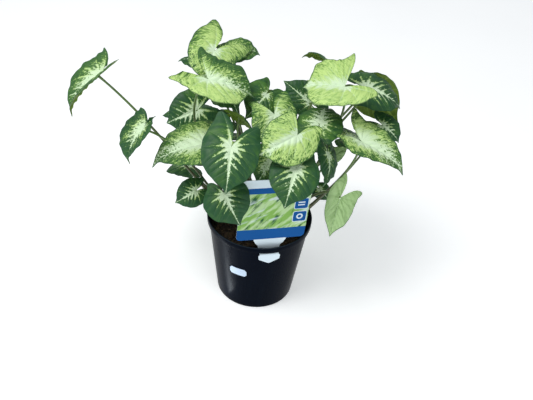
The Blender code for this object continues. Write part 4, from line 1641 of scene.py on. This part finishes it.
@dataclass(frozen=True)
class CardFinish:
    """The card's print: a white heading, blue bands and badges, and a soft green picture.

    The print is laid out in the card's UV map, in decimetres from its bottom middle. Below 0 are
    the plain neck, the tongue and the back. ring is a radius and half a stroke, bars are half a
    length, the way from the middle and half a stroke, and disc is a radius. The picture's layers
    are (slant, scale, start, share).
    """

    white: Colour = colour(0.740, 0.860, 0.940)
    blue: Colour = colour(0.001, 0.090, 0.330)
    deep: Colour = colour(0.020, 0.110, 0.035)
    leaf: Colour = colour(0.240, 0.470, 0.100)
    glow: Colour = colour(0.560, 0.760, 0.420)
    heading: float = 0.11
    line: float = 0.19
    foot: float = 0.155
    end: float = 9.0
    badge_in: float = 0.095
    badge_low: float = 0.31
    badge_step: float = 0.185
    badge_half: Pair = (0.058, 0.052)
    badge_corners: Pair = (0.026, 0.018)
    ring: Pair = (0.030, 0.009)
    bars: Place = (0.040, 0.018, 0.008)
    disc: float = 0.026
    leaf_shape: Place = (1.0, 4.0, 1.0)
    leaf_noise: Pair = (3.0, 0.55)
    leaf_edge: float = 0.13
    grain_noise: Pair = (700.0, 2.0)
    bump: Pair = (0.00005, 0.4)
    rough: float = 0.4
    gloss: float = 0.1
    layers: tuple = ((-1.15, 4.0, 0.36, 1.0), (-0.80, 3.2, 0.44, 0.8), (-0.40, 2.6, 0.52, 0.7))

    def make(self, height: float, width: float) -> bpy.types.Material:
        """Make the finish.

        Args:
            height: The card's height in millimetres.
            width: The card's width in millimetres.

        Returns:
            The material.
        """
        graph = Graph("card print")
        flat = graph.node("ShaderNodeUVMap", {}).outputs[0]
        x, y, _ = graph.parts(flat)
        top = height / 100.0
        paper = self.picture(graph, flat)
        paper = self.band(graph, paper, y, top - self.line, top - self.heading, self.blue)
        paper = self.band(graph, paper, y, top - self.heading, self.end, self.white)
        paper = self.band(graph, paper, y, 0.0, self.foot, self.blue)
        across = abs(x - (width / 200.0 - self.badge_in))
        for sign in Sign:
            up = abs(y - (self.badge_low + self.badge_step * sign.value))
            paper = self.badge(graph, paper, across, up, sign)
        paper = self.band(graph, paper, y, -self.end, 0.0, self.white)
        graph.bump(graph.noise(graph.place(), *self.grain_noise), *self.bump)
        return graph.set(Base_Color=paper, Roughness=self.rough, Specular_IOR_Level=self.gloss)

    def band(self, graph: Graph, below: Socket, y: Value, low: float, high: float,
             ink: Colour) -> Socket:
        """Return the print with a level band of ink from low to high."""
        return graph.mix((y > low) * (y < high), below, ink)

    def badge(self, graph: Graph, below: Socket, across: Value, up: Value, sign: Sign) -> Socket:
        """Print a rounded blue badge with a white edge and a sign.

        Args:
            graph: The material's graph.
            below: The print so far.
            across: The distance from the badge's middle across the card.
            up: The distance from it up or down.
            sign: What the badge holds.

        Returns:
            The print with the badge.
        """
        half_x, half_y = self.badge_half
        corner = graph.far(graph.larger(across - half_x, 0.0), graph.larger(up - half_y, 0.0))
        for limit, ink in zip(self.badge_corners, (self.white, self.blue)):
            below = graph.mix(corner < limit, below, ink)
        reach = graph.far(across, up)
        ring, ring_stroke = self.ring
        bar, bar_up, bar_stroke = self.bars
        marks = {
            Sign.RING: abs(reach - ring) < ring_stroke,
            Sign.BARS: (across < bar) * (abs(up - bar_up) < bar_stroke),
            Sign.DISC: reach < self.disc,
        }
        return graph.mix(marks[sign], below, self.white)

    def picture(self, graph: Graph, flat: Socket) -> Socket:
        """Print the picture: a soft, sunlit thicket of narrow leaves in greens.

        Each layer is a noise stretched along its own slant, so that it breaks into thin leaves.

        Args:
            graph: The material's graph.
            flat: The card's UV map.

        Returns:
            The picture.
        """
        paper = self.deep
        for (turn, scale, low, share), tint in zip(self.layers, (self.leaf, self.glow, self.white)):
            spin = graph.node("ShaderNodeVectorRotate", {0: flat, 3: turn}, rotation_type="Z_AXIS")
            slim = graph.stretch(spin.outputs[0], self.leaf_shape)
            leaves = graph.noise(slim, scale, *self.leaf_noise)
            paper = graph.mix(graph.step(leaves, low, low + self.leaf_edge, 0.0, share), paper, tint)
        return paper


@dataclass
class Card:
    """The care card: a thin sheet with round corners, a stepped neck and a tongue.

    neck_steps are (half width, height) down the neck. bend_steps are (way out from the card's
    sheet, height above the slot), where the neck passes out of the pot, and tongue_steps are (half
    width, drop below the slot) down the tongue outside it.
    """

    azimuth: float = 14.0
    tilt: float = 3.0
    width: float = 81.0
    height: float = 86.0
    bottom: float = 125.0
    thickness: float = 0.6
    radius: float = 58.2
    corner: float = 5.0
    bow: float = 0.5
    bow_rise: Pair = (118.0, 140.0)
    slot: float = 105.8
    slot_half: float = 11.5
    tongue_radius: float = 64.6
    pot_height: float = 115.0
    columns: int = 24
    crease: float = 40.0
    neck_steps: tuple[Pair, ...] = (
        (19.5, 124.95), (19.1, 123.0), (17.1, 119.4), (16.4, 118.2), (13.5, 115.2), (13.0, 112.0),
    )
    bend_steps: tuple[Pair, ...] = (
        (0.0, 2.2), (0.4, 1.1), (1.1, 0.4), (2.0, 0.0), (5.2, -0.05), (6.0, -0.3),
    )
    tongue_steps: tuple[Pair, ...] = (
        (11.9, 1.0), (13.0, 1.8), (12.6, 6.75), (11.8, 7.83), (1.6, 13.15), (0.5, 13.5),
    )

    def rows(self) -> Array:
        """Work out the card's rows, from the top down.

        Returns:
            Rows of (half width, distance from the pot's axis, height).
        """
        half, corner = self.width / 2 - self.corner, self.corner
        top, bottom = self.bottom + self.height - corner, self.bottom + corner
        turn = np.radians(np.linspace(0.0, 90.0, 7))
        upper = [(half + corner * math.sin(a), self.radius, top + corner * math.cos(a)) for a in turn]
        body = [(half + corner, self.radius, z) for z in np.linspace(top, bottom, 14)[1:-1]]
        lower = [(half + corner * math.cos(a), self.radius, bottom - corner * math.sin(a)) for a in turn]
        neck = [(wide, self.radius, z) for wide, z in self.neck_steps]
        bend = [(self.slot_half, self.radius + out, self.slot + up) for out, up in self.bend_steps]
        tongue = [(wide, self.tongue_radius, self.slot - drop) for wide, drop in self.tongue_steps]
        return np.array([*upper, *body, *lower, *neck, *bend, *tongue])

    def build(self) -> None:
        """Make the card in place of its solid.

        Point (i, j) lies across the card at a share of row i's half width. The card bows out very
        slightly at its middle, and both faces are set off from that sheet by half the thickness.
        """
        angle = math.radians(self.azimuth)
        across = np.array([math.cos(angle), math.sin(angle), 0.0])
        out = np.array([math.sin(angle), -math.cos(angle), 0.0])
        rows = self.rows()
        half, radius, height = (rows[:, k:k + 1] for k in range(3))
        lean = math.tan(math.radians(self.tilt)) * np.maximum(height - self.pot_height, 0.0)
        side = half * np.linspace(-1.0, 1.0, self.columns + 1)[None, :]
        bow = self.bow * np.cos(math.pi * side / self.width) * smooth(*self.bow_rise, height)
        middle = ((side + lean)[..., None] * across + (radius + bow)[..., None] * out
                  + height[..., None] * np.array([0.0, 0.0, 1.0]))
        normal = unit(np.cross(np.gradient(middle, axis=1), np.gradient(middle, axis=0)))
        normal = normal * np.where((normal @ out) + normal[..., 2] < 0.0, -1.0, 1.0)[..., None]
        off = normal * self.thickness / 2
        uv = stack(side, height - self.bottom) / 100.0
        whole = sheet(middle + off, middle - off, uv, uv * [1.0, 0.0] - [0.0, 1.0])
        finish = CardFinish().make(self.height, self.width)
        piece = whole.piece("care_card", [finish], "card", self.crease)
        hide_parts("label")
        LOG.info("card: %d faces", len(piece.data.polygons))


@dataclass(frozen=True)
class StickerFinish:
    """Matt white sticker paper with faint fibres."""

    paper: Colour = colour(0.560, 0.690, 0.860)
    fibre: Colour = colour(0.420, 0.520, 0.660)
    fibre_noise: tuple = (900.0, 4.0, 0.65)
    fibre_step: tuple = (0.45, 0.75, 0.0, 0.5)
    grain_noise: Pair = (1400.0, 2.0)
    bump: Pair = (0.00005, 0.5)
    rough: float = 0.55

    def make(self) -> bpy.types.Material:
        """Make the finish.

        Returns:
            The material.
        """
        graph = Graph("sticker paper")
        fibres = graph.step(graph.noise(graph.place(), *self.fibre_noise), *self.fibre_step)
        graph.bump(graph.noise(graph.place(), *self.grain_noise), *self.bump)
        return graph.set(Base_Color=graph.mix(fibres, self.paper, self.fibre), Roughness=self.rough)


@dataclass
class Sticker:
    """The small price sticker, which follows the pot's wall and has clipped, round ends."""

    pot: Pot
    azimuth: float = -21.0
    height: float = 65.0
    length: float = 22.0
    width: float = 12.0
    clip: float = 2.6
    lift: float = 0.32
    thickness: float = 0.25
    grid: tuple[int, int] = (41, 9)
    crease: float = 40.0

    def build(self) -> None:
        """Make the sticker in place of its solid.

        Across the sticker its half height falls in a smooth curve at both ends, and each point
        lies on the pot's tapering wall.
        """
        columns, rows = self.grid
        along = np.linspace(-0.5, 0.5, columns)[:, None] * self.length
        share = np.linspace(-1.0, 1.0, rows)[None, :]
        clipped = self.clip * smooth(self.length / 2 - self.clip, self.length / 2, np.abs(along))
        z = self.height + share * (self.width / 2 - clipped)
        taper = (self.pot.wall_top - self.pot.base_radius) / (self.pot.height - self.pot.band)
        wall = self.pot.base_radius + taper * z
        turn = math.radians(self.azimuth) + along / wall
        out = np.stack([np.sin(turn), -np.cos(turn), 0.0 * turn], axis=-1)
        back = out * (wall + self.lift)[..., None] + z[..., None] * np.array([0.0, 0.0, 1.0])
        uv = stack(along / self.length + 0.5, share / 2 + 0.5)
        whole = sheet(back + out * self.thickness, back, uv, uv)
        piece = whole.piece("wall_sticker", [StickerFinish().make()], "sticker", self.crease)
        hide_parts("price_sticker")
        LOG.info("sticker: %d faces", len(piece.data.polygons))


@dataclass(frozen=True)
class Lamp:
    """A flat area light that looks at a point: its sizes, place and aim are in metres."""

    name: str
    place: Place
    aim: Place
    sizes: Pair
    power: float
    tint: Place

    def build(self) -> None:
        """Add the light."""
        data = bpy.data.lights.new(self.name, "AREA")
        data.shape = "RECTANGLE"
        data.size, data.size_y = self.sizes
        data.energy = self.power
        data.color = self.tint
        lamp = bpy.data.objects.new(self.name, data)
        lamp.location = self.place
        lamp.rotation_euler = (Vector(self.place) - Vector(self.aim)).to_track_quat("Z", "Y").to_euler()
        bpy.context.scene.collection.objects.link(lamp)


@dataclass
class Studio:
    """The pale floor, the soft lights and the camera.

    The camera looks along +Y at the target and down by the pitch, and is rolled a little. The
    strip lies by the pot and gives its wall one long highlight.
    """

    target: Place = (6.9, 0.0, 137.4)
    distance: float = 903.0
    pitch: float = 37.8
    roll: float = 4.85
    lens: float = 50.0
    sky: Colour = colour(0.93, 0.97, 1.0)
    sky_light: float = 0.45
    floor_half: float = 20.0
    floor_glow: float = 0.45
    floor_tints: tuple[Colour, Colour] = (colour(0.86, 0.87, 0.88), colour(0.91, 0.92, 0.93))
    lamps: tuple[Lamp, ...] = (
        Lamp("key", (-0.45, -0.35, 1.35), (0.0, 0.0, 0.16), (0.7, 0.7), 11.6, (1.0, 0.99, 0.965)),
        Lamp("fill", (0.45, -1.2, 0.75), (0.0, 0.0, 0.15), (0.9, 0.9), 1.8, (0.96, 0.98, 1.0)),
        Lamp("side", (-1.1, -0.55, 0.45), (0.0, 0.0, 0.10), (0.35, 0.35), 1.2, (0.95, 0.98, 1.0)),
        Lamp("strip", (-0.115, -0.046, 0.002), (-0.115, -0.046, 1.0), (0.15, 0.012), 0.06,
             (0.85, 0.93, 1.0)),
    )

    def build(self) -> None:
        """Set up the floor, the lights and the camera."""
        self.floor()
        for lamp in self.lamps:
            lamp.build()
        world = bpy.data.worlds.new("studio")
        world.use_nodes = True
        sky = world.node_tree.nodes["Background"]
        sky.inputs[0].default_value = self.sky
        sky.inputs[1].default_value = self.sky_light
        bpy.context.scene.world = world
        bpy.context.scene.view_settings.view_transform = "Standard"
        self.camera()

    def floor(self) -> None:
        """Make the floor: a wide sheet with a faint, soft mottle."""
        corners = [(-1, -1, 0), (1, -1, 0), (1, 1, 0), (-1, 1, 0)]
        mesh = bpy.data.meshes.new("floor")
        mesh.from_pydata((np.array(corners) * self.floor_half).tolist(), [], [(0, 1, 2, 3)])
        graph = Graph("floor")
        tint = graph.mix(graph.noise(graph.place(), 3.0, 3.0), *self.floor_tints)
        mesh.materials.append(graph.set(Base_Color=tint, Roughness=0.8, Emission_Color=tint,
                                        Emission_Strength=self.floor_glow))
        floor = bpy.data.objects.new("floor", mesh)
        bpy.context.scene.collection.objects.link(floor)

    def camera(self) -> None:
        """Add the camera."""
        pitch = math.radians(self.pitch)
        ahead = Vector((0.0, math.cos(pitch), -math.sin(pitch)))
        roll = Matrix.Rotation(math.radians(self.roll), 3, -ahead)
        right = roll @ Vector((1.0, 0.0, 0.0))
        up = roll @ Vector((1.0, 0.0, 0.0)).cross(ahead)
        data = bpy.data.cameras.new("camera")
        data.lens = self.lens
        data.clip_start = 0.01
        camera = bpy.data.objects.new("camera", data)
        turn = Matrix((right, up, -ahead)).transposed().to_4x4()
        camera.matrix_world = Matrix.Translation((Vector(self.target) - ahead * self.distance) * MM) @ turn
        bpy.context.scene.collection.objects.link(camera)
        bpy.context.scene.camera = camera


def main() -> None:
    """Build the studio and every piece."""
    logging.basicConfig(level=logging.INFO, format="%(message)s")
    Studio().build()
    pot = Pot()
    pot.build()
    Soil().build()
    Card().build()
    Sticker(pot).build()
    skin = StalkFinish().make()
    for name, (x, y) in SHOOTS.items():
        Stalks(name, x, y).build(skin)
    Foliage().build()


if __name__ == "__main__":
    main()
